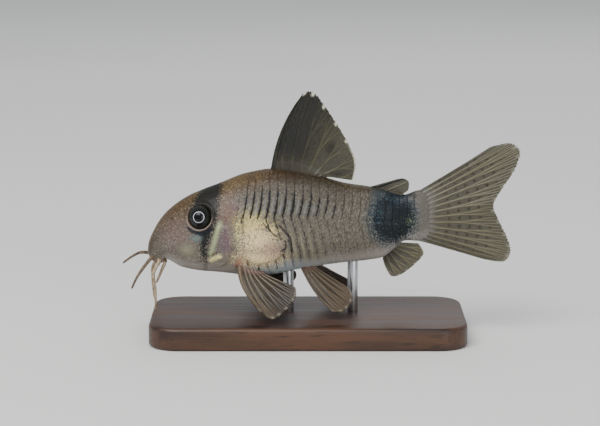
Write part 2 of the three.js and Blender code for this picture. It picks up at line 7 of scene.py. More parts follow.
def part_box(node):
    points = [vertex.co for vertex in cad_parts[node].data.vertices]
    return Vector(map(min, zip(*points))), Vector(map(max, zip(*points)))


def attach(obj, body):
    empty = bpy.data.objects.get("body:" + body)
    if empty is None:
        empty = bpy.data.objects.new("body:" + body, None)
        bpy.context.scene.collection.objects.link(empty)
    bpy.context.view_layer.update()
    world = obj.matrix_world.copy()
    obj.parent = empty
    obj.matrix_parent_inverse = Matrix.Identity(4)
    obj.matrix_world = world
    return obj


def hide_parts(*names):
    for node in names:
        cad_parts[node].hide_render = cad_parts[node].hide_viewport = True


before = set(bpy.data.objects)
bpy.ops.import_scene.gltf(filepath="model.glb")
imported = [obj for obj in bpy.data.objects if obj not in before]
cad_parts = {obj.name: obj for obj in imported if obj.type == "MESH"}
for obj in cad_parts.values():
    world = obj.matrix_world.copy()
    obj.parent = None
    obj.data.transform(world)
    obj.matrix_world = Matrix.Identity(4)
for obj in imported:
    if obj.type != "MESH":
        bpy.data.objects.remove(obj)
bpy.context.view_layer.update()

mm = 0.001               # sizes below are in millimetres unless they say otherwise


# Small helpers
def deselectAll():
    if bpy.context.object and bpy.context.object.mode != "OBJECT":
        bpy.ops.object.mode_set(mode="OBJECT")
    bpy.ops.object.select_all(action="DESELECT")


def pickOnly(piece):
    deselectAll()
    piece.select_set(True)
    bpy.context.view_layer.objects.active = piece


def linear(hexColour):
    parts = [int(hexColour[i:i + 2], 16) / 255 for i in (1, 3, 5)]
    return (*[p / 12.92 if p <= 0.04045 else ((p + 0.055) / 1.055) ** 2.4 for p in parts], 1)


def perMm(size):
    # texture scale that makes one cell of a pattern this many millimetres wide
    return 1 / (size * mm)


def firstOutput(node):
    return next(socket for socket in node.outputs if socket.enabled)


def addNode(tree, kind, inputs=None, **settings):
    # An input is linked where it is given a node or a socket, and set where it is given a value. A Mix node's
    # inputs go by number: 0 is the share, 2 and 3 are two values, and 6 and 7 are two colours.
    node = tree.nodes.new(kind)
    for name, value in settings.items():
        setattr(node, name, value)
    for name, value in (inputs or {}).items():
        if isinstance(value, bpy.types.Node):
            value = firstOutput(value)
        if isinstance(value, bpy.types.NodeSocket):
            tree.links.new(value, node.inputs[name])
        else:
            node.inputs[name].default_value = value
    return node


def startMaterial(name):
    material = bpy.data.materials.new(name)
    material.use_nodes = True
    tree = material.node_tree
    tree.nodes.clear()
    return material, tree, addNode(tree, "ShaderNodeTexCoord").outputs["Object"]


def endMaterial(material, inputs):
    shader = addNode(material.node_tree, "ShaderNodeBsdfPrincipled", inputs)
    addNode(material.node_tree, "ShaderNodeOutputMaterial", {"Surface": shader})
    return material


def smoothstep(low, high, value):
    t = np.clip((value - low) / (high - low), 0, 1)
    return t * t * (3 - 2 * t)


def gauss(value, centre, width):
    return np.exp(-((value - centre) / width) ** 2)


def finishPiece(piece, material, slot, *nodes):
    piece.data.materials.clear()
    piece.data.materials.append(material)
    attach(piece, "root")
    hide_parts(*nodes)


def camelCase(node):
    first, *others = node.split("_")
    return first + "".join(word.title() for word in others)


def sideOf(node):
    # the fish's right side is at positive y
    return 1 if node.endswith("right") else -1


def writeAttribute(mesh, name, values):
    layer = mesh.attributes.new(name, "FLOAT", "POINT")
    layer.data.foreach_set("value", np.asarray(values, np.float32).ravel())


def sheetOfGrid(name, across, along):
    # a flat grid primitive, and where each of its points lies on it, from 0 to 1 each way
    deselectAll()
    bpy.ops.mesh.primitive_grid_add(x_subdivisions=across, y_subdivisions=along, size=1, calc_uvs=True)
    piece = bpy.context.object
    piece.name = piece.data.name = name
    piece.data.uv_layers[0].name = "OFBake"
    flat = np.zeros(len(piece.data.vertices) * 3)
    piece.data.vertices.foreach_get("co", flat)
    flat = flat.reshape(-1, 3)
    columns = np.rint((flat[:, 0] + 0.5) * across).astype(int)
    rows = np.rint((flat[:, 1] + 0.5) * along).astype(int)
    return piece, columns, rows


# The body's form
# Each station of the body, from the tail root to the roof of the mouth: the ring's top x and z and its bottom
# x and z in the median plane, half its width, how far down it is widest, and how full it is above and below.
fishBody = {
    "stations": np.array([
        [16.2, 19.2, 16.2, 13.2, 0.26, 0.50, 2.0, 2.0], [15.2, 19.6, 15.2, 12.8, 0.85, 0.50, 2.0, 2.0],
        [12.8, 19.0, 12.5, 12.6, 1.45, 0.50, 2.0, 2.0], [11.4, 19.2, 11.2, 11.4, 1.70, 0.52, 2.0, 2.0],
        [10.2, 19.7, 10.1, 10.6, 2.00, 0.53, 2.0, 2.1], [8.2, 20.1, 8.2, 10.2, 2.45, 0.55, 2.0, 2.2],
        [4.9, 20.6, 4.9, 9.9, 3.20, 0.57, 1.95, 2.4], [2.3, 21.3, 2.3, 9.6, 3.75, 0.59, 1.9, 2.5],
        [-1.1, 22.0, -1.1, 9.1, 4.40, 0.61, 1.9, 2.6], [-4.8, 22.5, -4.8, 8.4, 4.85, 0.62, 1.9, 2.7],
        [-7.4, 22.1, -8.2, 8.3, 5.00, 0.63, 1.9, 2.8], [-9.0, 21.7, -10.5, 8.6, 4.95, 0.63, 1.9, 2.8],
        [-11.4, 20.7, -12.6, 8.8, 4.70, 0.62, 1.95, 2.8], [-14.0, 19.7, -14.4, 8.9, 4.30, 0.60, 2.0, 2.7],
        [-16.0, 18.8, -15.8, 9.1, 3.85, 0.58, 2.1, 2.6], [-17.8, 17.6, -17.0, 9.4, 3.40, 0.56, 2.2, 2.5],
        [-19.3, 16.2, -18.1, 10.0, 2.85, 0.55, 2.3, 2.4], [-20.6, 14.2, -18.9, 10.4, 2.35, 0.52, 2.3, 2.3],
        [-21.3, 12.5, -19.2, 10.4, 2.00, 0.50, 2.2, 2.2], [-21.4, 11.2, -19.3, 10.1, 1.75, 0.50, 2.1, 2.1],
        [-21.0, 10.4, -19.6, 9.8, 1.45, 0.50, 2.0, 2.0], [-20.7, 10.5, -19.9, 10.1, 1.00, 0.50, 2.0, 2.0],
        [-20.5, 11.3, -20.1, 11.1, 0.60, 0.50, 2.0, 2.0],
    ]),
    # both ends of the rows of scutes, as x at one height, how far a scute stands up, and the share of the way
    # down the side where the two rows meet, at the tail and at the shoulder
    "scutes": 21, "firstScute": -8.4, "lastScute": 14.2, "scuteHeight": 15, "scuteRise": 0.15,
    "lateralLine": (0.47, 0.385), "around": 220,
}
stations = fishBody["stations"]
alongBack = np.hypot(*np.diff(stations[:, :2], axis=0).T)
alongBelly = np.hypot(*np.diff(stations[:, 2:4], axis=0).T)
knots = np.concatenate([[0], np.cumsum((alongBack + alongBelly) / 2)])
bodyLength = knots[-1]
muzzle, lipStart, mouth, lipEdge = knots[17:21]      # how far from the tail the stations round the mouth lie


def ringAt(s):
    # the stations joined by smooth curves, read at distance s from the tail root
    s = np.clip(np.asarray(s, float), 0, bodyLength)
    gaps = np.diff(knots)[:, None]
    lean = np.diff(stations, axis=0) / gaps
    inner = (lean[:-1] * gaps[1:] + lean[1:] * gaps[:-1]) / (gaps[1:] + gaps[:-1])
    slopes = np.vstack([lean[:1], inner, lean[-1:]])
    i = np.clip(np.searchsorted(knots, s, side="right") - 1, 0, len(knots) - 2)
    span = (knots[i + 1] - knots[i])[..., None]
    t = (s - knots[i])[..., None] / span
    p, q, m, n = stations[i], stations[i + 1], slopes[i] * span, slopes[i + 1] * span
    return np.moveaxis(p + t * (m + t * (3 * (q - p) - 2 * m - n + t * (2 * (p - q) + m + n))), -1, 0)


def downAt(ring, a):
    # share of the way from back to belly at an angle from the back
    c = np.abs(np.cos(a))
    widest, upper, lower = ring[5], ring[6], ring[7]
    above = widest * (1 - c ** (2 / upper))
    below = widest + (1 - widest) * c ** (2 / lower)
    return np.where(a <= math.pi / 2, above, below)


def turningPoint(low, high, passes):
    # the place between low and high from where a test no longer passes
    for _ in range(40):
        middle = (low + high) / 2
        if passes(middle):
            low = middle
        else:
            high = middle
    return low


def locate(x, z):
    # distance from the tail and angle from the back of the place that a side view shows at (x, z)
    def across(s):
        ring = ringAt(s)
        return (x - ring[0]) * (ring[3] - ring[1]) - (z - ring[1]) * (ring[2] - ring[0])
    atTail = across(0)
    s = turningPoint(0, mouth, lambda place: across(place) * atTail > 0)
    ring = ringAt(s)
    wanted = math.hypot(x - ring[0], z - ring[1]) / math.hypot(ring[2] - ring[0], ring[3] - ring[1])
    return s, turningPoint(0, math.pi, lambda angle: downAt(ring, angle) < wanted)


scuteStart = locate(fishBody["firstScute"], fishBody["scuteHeight"])[0]
scuteEnd = locate(fishBody["lastScute"], fishBody["scuteHeight"])[0]
scutePitch = (scuteStart - scuteEnd) / fishBody["scutes"]


def lateralLine(s):
    # share of the way from back to belly at which the two rows of scutes meet
    atTail, atShoulder = fishBody["lateralLine"]
    return atTail + (atShoulder - atTail) * smoothstep(1, 17, s)


def chevron(s, a):
    # rear edges of the scutes bend forward at the lateral line, and a little at the back
    share = a / math.pi
    line = lateralLine(s)
    up, low = (line - share) / line, (share - line) / (1 - line)
    upper = 0.8 * (1 - np.exp(-4.5 * up)) - 0.5 * up ** 2
    bend = 0.5 - np.where(share < line, upper, 1.7 * (1 - np.exp(-3.5 * low)))
    return smoothstep(0, 3, scuteStart + 2.5 - s) * smoothstep(0.2, 14, s) * bend


def fleshAt(s, a, side):
    # the plain body's point at a distance from the tail, an angle from the back and a side
    ring = ringAt(s + chevron(s, a))
    down = downAt(ring, a)
    full = np.where(a <= math.pi / 2, ring[6], ring[7])
    x = ring[0] + (ring[2] - ring[0]) * down
    z = ring[1] + (ring[3] - ring[1]) * down
    y = side * ring[4] * np.abs(np.sin(a)) ** (2 / full)
    return np.stack([x, y, z], -1)


def wayOut(s, a, side):
    alongBody = fleshAt(s + 0.05, a, side) - fleshAt(s - 0.05, a, side)
    downBody = fleshAt(s, a + 0.03, side) - fleshAt(s, a - 0.03, side)
    out = np.cross(alongBody, downBody) * -side
    return out / np.linalg.norm(out)


def frameAt(x, z, side):
    # a place on the flesh and the way out of it
    s, a = locate(x, z)
    return Vector(fleshAt(s, a, side)), Vector(wayOut(s, a, side))


def loopThrough(points, count=72):
    # a closed smooth outline through a few side-view points
    p = np.array(points, float)
    n = len(p)
    t = np.arange(count) * n / count
    i, f = t.astype(int), (t % 1)[:, None]
    a, b, c, d = (p[(i + k) % n] for k in (-1, 0, 1, 2))
    square, cube = 2 * a - 5 * b + 4 * c - d, 3 * b - a - 3 * c + d
    return 0.5 * (2 * b + (c - a) * f + square * f ** 2 + cube * f ** 3)


def fromLine(x, z, start, end):
    # how far each point lies from a straight line between two points
    (x0, z0), (x1, z1) = start, end
    dx, dz = x1 - x0, z1 - z0
    t = np.clip(((x - x0) * dx + (z - z0) * dz) / (dx * dx + dz * dz), 0, 1)
    return np.hypot(x - x0 - t * dx, z - z0 - t * dz)


def insideBy(x, z, outline):
    # how far inside an outline each point lies, negative outside
    best = np.full(x.shape, 1e9)
    inside = np.zeros(x.shape, bool)
    for (x0, z0), (x1, z1) in zip(outline, np.roll(outline, -1, axis=0)):
        best = np.minimum(best, fromLine(x, z, (x0, z0), (x1, z1)))
        crosses = (z0 > z) != (z1 > z)
        inside ^= crosses & (x < x0 + (z - z0) * (x1 - x0) / (z1 - z0 or 1e-9))
    return np.where(inside, best, -best)


def spot(x, z, centreX, centreZ, reachX, reachZ):
    # 1 in the middle of an oval mark, 0.5 on its outline and 0 well outside
    return np.clip(1 - 0.5 * np.hypot((x - centreX) / reachX, (z - centreZ) / reachZ), 0, 1)


def stroke(x, z, start, end, halfWidth):
    # the same for a straight mark
    return np.clip(1 - 0.5 * fromLine(x, z, start, end) / halfWidth, 0, 1)


# Eyes
eye = {
    "x": -14.3, "z": 16.55, "ball": 1.75, "cornea": 0.16,
    # how deep its middle lies, how far it is turned outwards, and how high over its middle the skin ends
    "sunk": 1.05, "sideways": 0.8, "opening": 0.95,
}


def eyePlace(side):
    point, out = frameAt(eye["x"], eye["z"], side)
    axis = (out + Vector((0, eye["sideways"] * side, 0))).normalized()
    return point - axis * eye["sunk"], axis


# Skin
skin = {
    "gillCover": [[-12.4, 15.0], [-10.9, 15.5], [-9.9, 14.6], [-9.8, 13.0],
                  [-10.3, 11.2], [-11.3, 10.1], [-12.8, 10.0], [-13.1, 12.0]],
    "cheekPlate": [[-15.6, 13.6], [-13.9, 13.9], [-13.2, 12.9], [-13.4, 11.4],
                   [-14.6, 10.5], [-16.4, 10.7], [-16.8, 12.2]],
    "shoulderPlate": [[-8.0, 16.3], [-6.2, 16.2], [-4.5, 14.6], [-3.0, 13.4],
                      [-3.1, 12.0], [-4.8, 10.8], [-7.5, 10.6], [-8.6, 12.8]],
    "plateRise": {"gillCover": (0.28, 0.2), "cheekPlate": (0.13, 0.2), "shoulderPlate": (0.26, 0.75)},
    "scuteGroove": 0.09,
    "orbit": {"rise": 0.2, "width": 0.26, "away": 0.42, "socket": 2.0},     # raised ring round each eye
    "nostrils": [(-18.0, 16.2, 0.2), (-17.25, 16.75, 0.15)],                # x, z and radius
    # how far back or forward the eye band lies, and half its width, by height
    "bandHeights": [10.9, 11.6, 12.8, 14.0, 15.0, 16.8, 18.6, 19.6, 22.0],
    "bandMiddles": [-13.6, -13.65, -13.75, -13.45, -13.9, -13.9, -13.4, -12.9, -12.2],
    "bandHalves": [0.05, 0.25, 0.5, 0.65, 1.3, 1.9, 1.7, 1.4, 1.2],
    "shoulderLines": [[(-5.9, 16.0), (-4.6, 14.5), (-2.95, 13.5), (-2.95, 12.6), (-3.6, 12.3)],
                      [(-3.9, 15.8), (-2.3, 13.9), (-2.1, 12.0)]],
    "tailSpot": (11.3, 16.1, 2.95, 3.4),         # its middle x and z, and its reach both ways
    # oval marks: strength, middle x and z, and reach both ways
    "ovals": {
        "redBack": [(1, -6.5, 22.0, 6.0, 2.4)],
        "blueBelly": [(1, -2.5, 9.4, 5.4, 1.7)],
        "snoutGold": [(1, -17.8, 17.0, 3.4, 2.4)],
        "cheekPink": [(1, -17.4, 14.2, 3.0, 2.6)],
        "napePink": [(1, -10.8, 17.4, 1.7, 2.6)],
        "gillPurple": [(1, -10.8, 13.7, 1.2, 2.4), (0.7, -9.6, 17.6, 1.3, 1.6)],
        "jawLime": [(1, -16.0, 12.2, 1.2, 1.0)],
        # the shoulder plate's own gold and pale colour, with a painted highlight on it
        "shoulderGoldAndHighlight": [(1, -7.4, 15.6, 1.9, 1.7), (0.8, -4.7, 15.0, 0.8, 1.1)],
        "shoulderPaleAndHighlight": [(1, -6.6, 13.7, 2.4, 1.6), (1, -6.4, 11.3, 2.9, 1.2)],
        "shoulderPink": [(1, -4.9, 12.5, 1.5, 1.2)],
        "finPink": [(1, -8.8, 10.9, 1.0, 1.2)],
        # a painted glint, turquoise, under the eye
        "turquoiseGlint": [(1, -14.8, 13.85, 0.9, 0.5)],
        "tailFlecks": [(1, 9.4, 16.6, 1.7, 3.0), (1, 11.6, 18.3, 2.3, 1.1)],
        "tailGlint": [(0.7, 11.8, 15.2, 1.7, 1.6), (1, 13.5, 15.6, 0.8, 1.3)],
    },
    # straight marks: strength, both ends and half width
    "strokes": {
        "cheekStripe": (1, (-11.6, 15.9), (-12.9, 11.6), 0.36),
        "gillFlecks": (1, (-9.4, 15.8), (-9.3, 13.2), 0.22),
        "goldDash": (1, (-12.9, 10.95), (-11.6, 11.6), 0.32),
        "dashShade": (0.9, (-13.1, 11.5), (-11.7, 12.1), 0.2),
    },
}


def skinRings():
    # rings lie close together at each scute's rear edge, and evenly on the tail root and the head
    phases = np.array([0, 0.03, 0.06, 0.1, 0.16, 0.24, 0.34, 0.46, 0.6, 0.74, 0.86, 0.94, 0.985])
    scuteRings = [scuteEnd + (k + phases) * scutePitch for k in range(fishBody["scutes"] + 1)]
    headRings = np.linspace(scuteStart + scutePitch, muzzle, 66)[:-1]
    return np.concatenate([np.linspace(0, scuteEnd, 14)[:-1], *scuteRings, headRings,
                           np.linspace(muzzle, bodyLength, 54)])


def skinRelief(x, z, s, share):
    # how far the skin stands off the plain body, and where scutes and plates end
    phase = (s - scuteEnd) / scutePitch
    armoured = smoothstep(-0.05, 0.3, phase) * (phase < fishBody["scutes"] + 1)
    phase = phase % 1
    flank = smoothstep(0.06, 0.2, 1 - share) * (0.1 + 0.9 * smoothstep(0.03, 0.16, share))
    # each scute is highest at its rear edge, with a rounded lip, and slides under the one before it
    scute = smoothstep(0, 0.07, phase) * (1 - phase) ** 0.85 * armoured * flank
    groove = gauss(share, lateralLine(s), 0.011) * armoured
    lift = fishBody["scuteRise"] * scute - skin["scuteGroove"] * groove
    covered = np.zeros(x.shape)
    for name, (rise, start) in skin["plateRise"].items():
        outline = loopThrough(skin[name])
        depth = insideBy(x, z, outline)
        back = np.clip((x - outline[:, 0].min()) / np.ptp(outline[:, 0]), 0, 1)
        raised = smoothstep(-0.02, 0.22, depth) * smoothstep(0.1, 0.3, 1 - share)
        lift = lift * (1 - raised) + rise * (start + (1 - start) * back) * raised
        covered = np.maximum(covered, raised)
    edges = np.clip(gauss(phase, 0, 0.24) + gauss(phase, 1, 0.15), 0, 1)
    bare = armoured * (1 - covered)
    return lift, edges * bare, gauss(phase, 0.52, 0.22) * bare, covered * (1 - covered) * 4


def skinMarks(x, z, s, share, edges, middles, plateEdges):
    # one mask for each layer of the paint below: 1 in the middle of a mark and 0.5 on its outline
    headward = smoothstep(scuteStart - 1, scuteStart + 5, s)
    lower = smoothstep(-0.03, 0.03, share - lateralLine(s))
    half = np.interp(z, skin["bandHeights"], skin["bandHalves"])
    middle = np.interp(z, skin["bandHeights"], skin["bandMiddles"])
    spotX, spotZ, reachX, reachZ = skin["tailSpot"]
    fromSpot = np.hypot((x - spotX) / reachX, (z - spotZ) / reachZ)
    fromEye = np.hypot(x - eye["x"] - 0.1, z - eye["z"] - 0.1)
    strong = np.interp(x, [-9, -7.5, -1, 2, 5, 8, 12], [0.7, 1, 0.95, 0.75, 0.45, 0.25, 0.15])
    lines = edges * strong * smoothstep(0.15, 0.3, share) * (1 - smoothstep(0.7, 0.85, share))
    lines = lines * (1 - lower * np.interp(x, [-3, 2], [0.35, 0.7]))
    shoulder = np.max([stroke(x, z, start, end, 0.14) for path in skin["shoulderLines"]
                       for start, end in zip(path, path[1:])], axis=0)
    flecked = (0.9 - 0.2 * smoothstep(0.1, 0.5, share) - 0.6 * smoothstep(0.6, 0.85, share))
    flecked = flecked * (1 - 0.5 * spot(x, z, -6.6, 13.0, 3.0, 3.4))
    reddish = np.maximum(smoothstep(-2.5, -6.5, x), 0.8 * spot(x, z, 6.5, 20.3, 3.2, 0.9))
    marks = {
        "back": 0.5 + (0.22 + 0.14 * headward - share) * 2.2,
        "backFlecks": (0.25 + 0.7 * reddish) * (1 - smoothstep(0.14, 0.36 + 0.1 * headward, share)),
        "belly": 0.5 + (share - 0.74 + 0.05 * headward) * 3.2,
        "darkFlecks": flecked * (1 - headward),
        "headFlecks": flecked * headward,
        "paleFlecks": 0.75 - 0.45 * smoothstep(0.25, 0.05, share),
        # painted reflection: the middles of the scutes are painted paler in place of their shine, above the
        # lateral line and, near the shoulder, below it
        "paintedScuteReflection": middles * strong * smoothstep(0.2, 0.34, share) * (1 - 0.9 * lower),
        "paintedLowerScuteReflection": 1.1 * middles * spot(x, z, -1.2, 12.4, 3.6, 3.0) * lower,
        "scuteLines": lines,
        "plateLines": np.maximum(0.5 * plateEdges, shoulder),
        "underEye": gauss(fromEye, 2.15, 0.35) * smoothstep(-0.9, -1.5, z - eye["z"]),
        "eyeBand": 0.5 + (half - np.abs(x - middle)) / 1.6,
        "tailRoot": smoothstep(13.2, 15.2, x),
        "tailHaze": np.maximum(0.5 + (1.2 - fromSpot) * 1.1, 0.8 * spot(x, z, 9.4, 19.0, 1.2, 1.1)),
        "tailSpot": 0.5 + (0.97 - fromSpot) * 1.5,
        "lips": smoothstep(lipStart, lipEdge, s),
    }
    for name, ovals in skin["ovals"].items():
        marks[name] = np.max([strength * spot(x, z, *oval) for strength, *oval in ovals], axis=0)
    for name, (strength, *line) in skin["strokes"].items():
        marks[name] = strength * stroke(x, z, *line)
    return marks


def openSockets(points, z):
    # sinks sockets for the eyes, with a raised ring round each, and nostrils into both sides of the skin
    lids, nostrils = np.zeros(z.shape), np.zeros(z.shape)
    orbit = skin["orbit"]
    rimRadius = math.sqrt(eye["ball"] ** 2 - eye["opening"] ** 2)
    for side in (-1, 1):
        centre, axis = (np.array(v) for v in eyePlace(side))
        offset = points - centre
        height = offset @ axis
        away = np.linalg.norm(offset - height[..., None] * axis, axis=-1)
        beside = (height > -1.2) & (points[..., 1] * side > 0)
        rim = orbit["rise"] * gauss(away, rimRadius + orbit["away"], orbit["width"])
        sink = -orbit["socket"] * smoothstep(rimRadius + 0.16, rimRadius - 0.12, away)
        points += np.where(beside, rim + sink, 0)[..., None] * axis
        lid = np.where(beside, gauss(away, rimRadius + 0.2, 0.15), 0)
        lids = np.maximum(lids, lid * (0.45 + 0.55 * smoothstep(1.4, -1.0, z - eye["z"])))
        for nostrilX, nostrilZ, radius in skin["nostrils"]:
            place, way = frameAt(nostrilX, nostrilZ, side)
            off = np.linalg.norm(points - np.array(place), axis=-1)
            # the pit's mask also paints it near-black, as painted shade in the nostril's opening
            pit = smoothstep(radius, radius * 0.4, off)
            bulge = 0.6 * gauss(off, radius * 1.35, radius * 0.6) * radius - 0.4 * pit
            points += np.where(off < 1.2, bulge, 0)[..., None] * np.array(way)
            nostrils = np.maximum(nostrils, pit)
    return {"lids": lids, "nostrils": nostrils}


def makeSkin():
    rings = skinRings()
    around = fishBody["around"]
    s, theta = np.meshgrid(rings, np.linspace(0, 2 * math.pi, around + 1), indexing="ij")
    a = np.where(theta <= math.pi, theta, 2 * math.pi - theta)
    side = np.where(theta <= math.pi, -1.0, 1.0)
    flesh = fleshAt(s, a, side)
    flesh[:, 0, 1] = flesh[:, -1, 1] = 0
    wrapped = np.concatenate([flesh[:, -2:-1], flesh, flesh[:, 1:2]], axis=1)
    out = np.cross((wrapped[:, 2:] - wrapped[:, :-2]) / 2, np.gradient(flesh, axis=0))
    out /= np.maximum(np.linalg.norm(out, axis=-1, keepdims=True), 1e-12)
    if out[len(rings) // 2, around // 4, 1] > 0:
        out = -out
    x, z, share = flesh[..., 0], flesh[..., 2], a / math.pi
    lift, edges, middles, plateEdges = skinRelief(x, z, s, share)
    marks = skinMarks(x, z, s, share, edges, middles, plateEdges)
    points = flesh + out * lift[..., None]
    marks.update(openSockets(points, z))

    piece, i, j = sheetOfGrid("fishSkin", len(rings) - 1, around)
    piece.data.vertices.foreach_set("co", (points[i, j] * mm).ravel())
    for name, values in marks.items():
        writeAttribute(piece.data, name, np.clip(values, 0, 1)[i, j])
    pickOnly(piece)
    bpy.ops.object.mode_set(mode="EDIT")
    bpy.ops.mesh.select_all(action="SELECT")
    bpy.ops.mesh.remove_doubles(threshold=1e-7)
    bpy.ops.mesh.select_all(action="DESELECT")
    bpy.ops.mesh.select_mode(type="VERT")
    bpy.ops.mesh.select_non_manifold()
    bpy.ops.mesh.edge_face_add()      # closes the tail end, inside the tail fin, and the roof of the mouth
    bpy.ops.mesh.select_all(action="SELECT")
    bpy.ops.mesh.normals_make_consistent(inside=False)
    bpy.ops.object.mode_set(mode="OBJECT")
    bpy.ops.object.shade_smooth()
    return piece


skinPaint = {
    "flank": "#645e53",
    # grains that break the marks up: noise by cell size in mm, and how much longer the streaks are upright
    "grains": {"fine": 0.19, "patchy": 0.9, "broad": 4.5, "ragged": 0.45, "streaks": 0.22},
    "streakLength": 2.0,
    # each layer over the last: colour, grain, how much of it, where it starts and is full, strength, metal
    "layers": {
        "back": ("#3b3122", "patchy", 0.8, 0.1, 0.9, 0.92, 0),
        "redBack": ("#4a2d18", "fine", 1.4, 0.3, 1.0, 0.6, 0),
        "backFlecks": ("#8d744a", "fine", -2.8, 0.6, 1.3, 0.55, 0.1),
        "belly": ("#a39c96", "broad", 0.6, 0.1, 0.8, 0.9, 0),
        "blueBelly": ("#a3b2ba", "broad", 0.5, 0.3, 0.95, 0.75, 0.1),
        "snoutGold": ("#5c4526", "fine", 1.3, 0.25, 0.95, 0.75, 0.1),
        "cheekPink": ("#826c68", "fine", 1.3, 0.25, 1.0, 0.6, 0.1),
        "napePink": ("#7d5f52", "fine", 1.3, 0.3, 1.0, 0.6, 0.1),
        "gillPurple": ("#5f3f55", "fine", 1.8, 0.3, 1.0, 0.7, 0.2),
        "jawLime": ("#a3a684", "fine", 2.0, 0.4, 1.05, 0.6, 0.3),
        # the shoulder plate's gold and pale colour, partly a painted highlight
        "shoulderGoldAndHighlight": ("#e0cb7c", "fine", 2.2, 0.22, 0.95, 0.8, 0.35),
        "shoulderPaleAndHighlight": ("#f6dca6", "fine", 2.0, 0.22, 0.95, 0.88, 0.25),
        "shoulderPink": ("#b08a78", "fine", 1.6, 0.3, 1.0, 0.65, 0.1),
        "finPink": ("#94503f", "patchy", 1.2, 0.4, 0.95, 0.6, 0),
        "cheekStripe": ("#b9c290", "fine", 2.6, 0.35, 1.0, 0.85, 0.4),
        "gillFlecks": ("#d6c98a", "fine", 2.6, 0.4, 1.05, 0.8, 0.4),
        "dashShade": ("#3a1f1c", "fine", 1.4, 0.4, 0.9, 0.7, 0),
        "goldDash": ("#f3e6a0", "fine", 2.0, 0.35, 0.85, 0.95, 0.5),
        "paleFlecks": ("#a8a29a", "fine", -2.6, 0.65, 1.35, 0.36, 0.15),
        "darkFlecks": ("#1a1510", "streaks", 2.4, 0.35, 1.2, 0.6, 0),
        "headFlecks": ("#1d1410", "fine", 2.2, 0.35, 1.2, 0.55, 0),
        # painted reflections on the middles of the scutes, in place of their shine
        "paintedScuteReflection": ("#8f9ba2", "streaks", 1.8, 0.4, 1.2, 0.4, 0.3),
        "paintedLowerScuteReflection": ("#aba384", "streaks", 1.8, 0.35, 1.1, 0.42, 0.3),
        "scuteLines": ("#0c1016", "ragged", 1.3, 0.25, 0.85, 0.92, 0),
        "plateLines": ("#1c1418", "ragged", 0.8, 0.35, 0.8, 0.85, 0),
        "eyeBand": ("#0b0c0b", "fine", 1.3, 0.25, 0.75, 0.93, 0),
        "underEye": ("#12111f", "fine", 0.8, 0.3, 0.9, 0.85, 0),
        # a painted glint, turquoise, under the eye
        "turquoiseGlint": ("#4c7c82", "fine", 2.4, 0.35, 1.2, 0.6, 0.3),
        "tailRoot": ("#68645d", "fine", 1.8, 0.2, 1.0, 0.7, 0),
        "tailHaze": ("#1c3a49", "fine", 1.9, 0.25, 1.0, 0.8, 0.1),
        "tailSpot": ("#050b11", "fine", 1.7, 0.25, 0.85, 0.9, 0),
        "tailFlecks": ("#34515f", "fine", -2.8, 0.8, 1.45, 0.5, 0.3),
        "tailGlint": ("#8d9a72", "fine", -3.2, 0.85, 1.4, 0.6, 0.4),
        "lids": ("#a08f82", "fine", 0.4, 0.25, 0.9, 0.75, 0.1),
        "lips": ("#7c6454", "patchy", 0.4, 0.3, 0.9, 0.6, 0),
        # painted shade: the nostril pits are painted near-black
        "nostrils": ("#070605", "fine", 0.0, 0.2, 0.8, 0.95, 0),
    },
    "roughness": (0.45, 0.62), "shine": 0.3, "wetness": 0.1,
}


def wetFishSkin():
    # Living skin over bone plates, with a clear wet film, so its shine is sharper than the skin under it.
    # Brown and black cells speckle it, and the shine of the silvery cells under them is painted into its
    # colour in patches, as painted highlights, reflections and glints.
    material, tree, place = startMaterial("wetFishSkin")
    shorten = (1, 1, 1 / skinPaint["streakLength"])
    upright = addNode(tree, "ShaderNodeMapping", {"Vector": place, "Scale": shorten})
    grains = {}
    for name, size in skinPaint["grains"].items():
        where = upright if name == "streaks" else place
        grains[name] = addNode(tree, "ShaderNodeTexNoise", {"Vector": where, "Scale": perMm(size),
                                                            "Detail": 3})

    colour = linear(skinPaint["flank"])
    metal = 0.0
    for name, (tint, grain, ragged, starts, full, strength, metallic) in skinPaint["layers"].items():
        mask = addNode(tree, "ShaderNodeAttribute", attribute_name=name).outputs["Fac"]
        raised = addNode(tree, "ShaderNodeMath", {0: mask, 1: ragged / 2}, operation="SUBTRACT")
        broken = addNode(tree, "ShaderNodeMath", {0: grains[grain], 1: ragged, 2: raised},
                         operation="MULTIPLY_ADD")
        amount = addNode(tree, "ShaderNodeMapRange", {"Value": broken, "From Min": starts, "From Max": full,
                                                      "To Max": strength}, interpolation_type="SMOOTHSTEP")
        colour = addNode(tree, "ShaderNodeMix", {0: amount, 6: colour, 7: linear(tint)}, data_type="RGBA")
        metal = addNode(tree, "ShaderNodeMix", {0: amount, 2: metal, 3: metallic}, data_type="FLOAT")
    smoothest, roughest = skinPaint["roughness"]
    gloss = addNode(tree, "ShaderNodeMapRange", {"Value": grains["patchy"], "To Min": smoothest,
                                                 "To Max": roughest})
    pores = addNode(tree, "ShaderNodeTexNoise", {"Vector": place, "Scale": perMm(0.15), "Detail": 2.0})
    grain = addNode(tree, "ShaderNodeBump", {"Height": pores, "Strength": 0.3, "Distance": 0.03 * mm})
    relief = addNode(tree, "ShaderNodeBump", {"Height": grains["fine"], "Strength": 0.4,
                                              "Distance": 0.05 * mm, "Normal": grain})
    return endMaterial(material, {
        "Base Color": colour, "Metallic": metal, "Roughness": gloss, "Normal": relief, "IOR": 1.38,
        "Specular IOR Level": skinPaint["shine"], "Coat Weight": skinPaint["wetness"], "Coat Roughness": 0.12,
        "Subsurface Weight": 0.06, "Subsurface Radius": (0.6, 0.35, 0.25), "Subsurface Scale": mm})


fishSkin = makeSkin()
finishPiece(fishSkin, wetFishSkin(), "flesh", "head", "torso", "tail_stem")
print("skin made,", len(fishSkin.data.polygons), "faces")


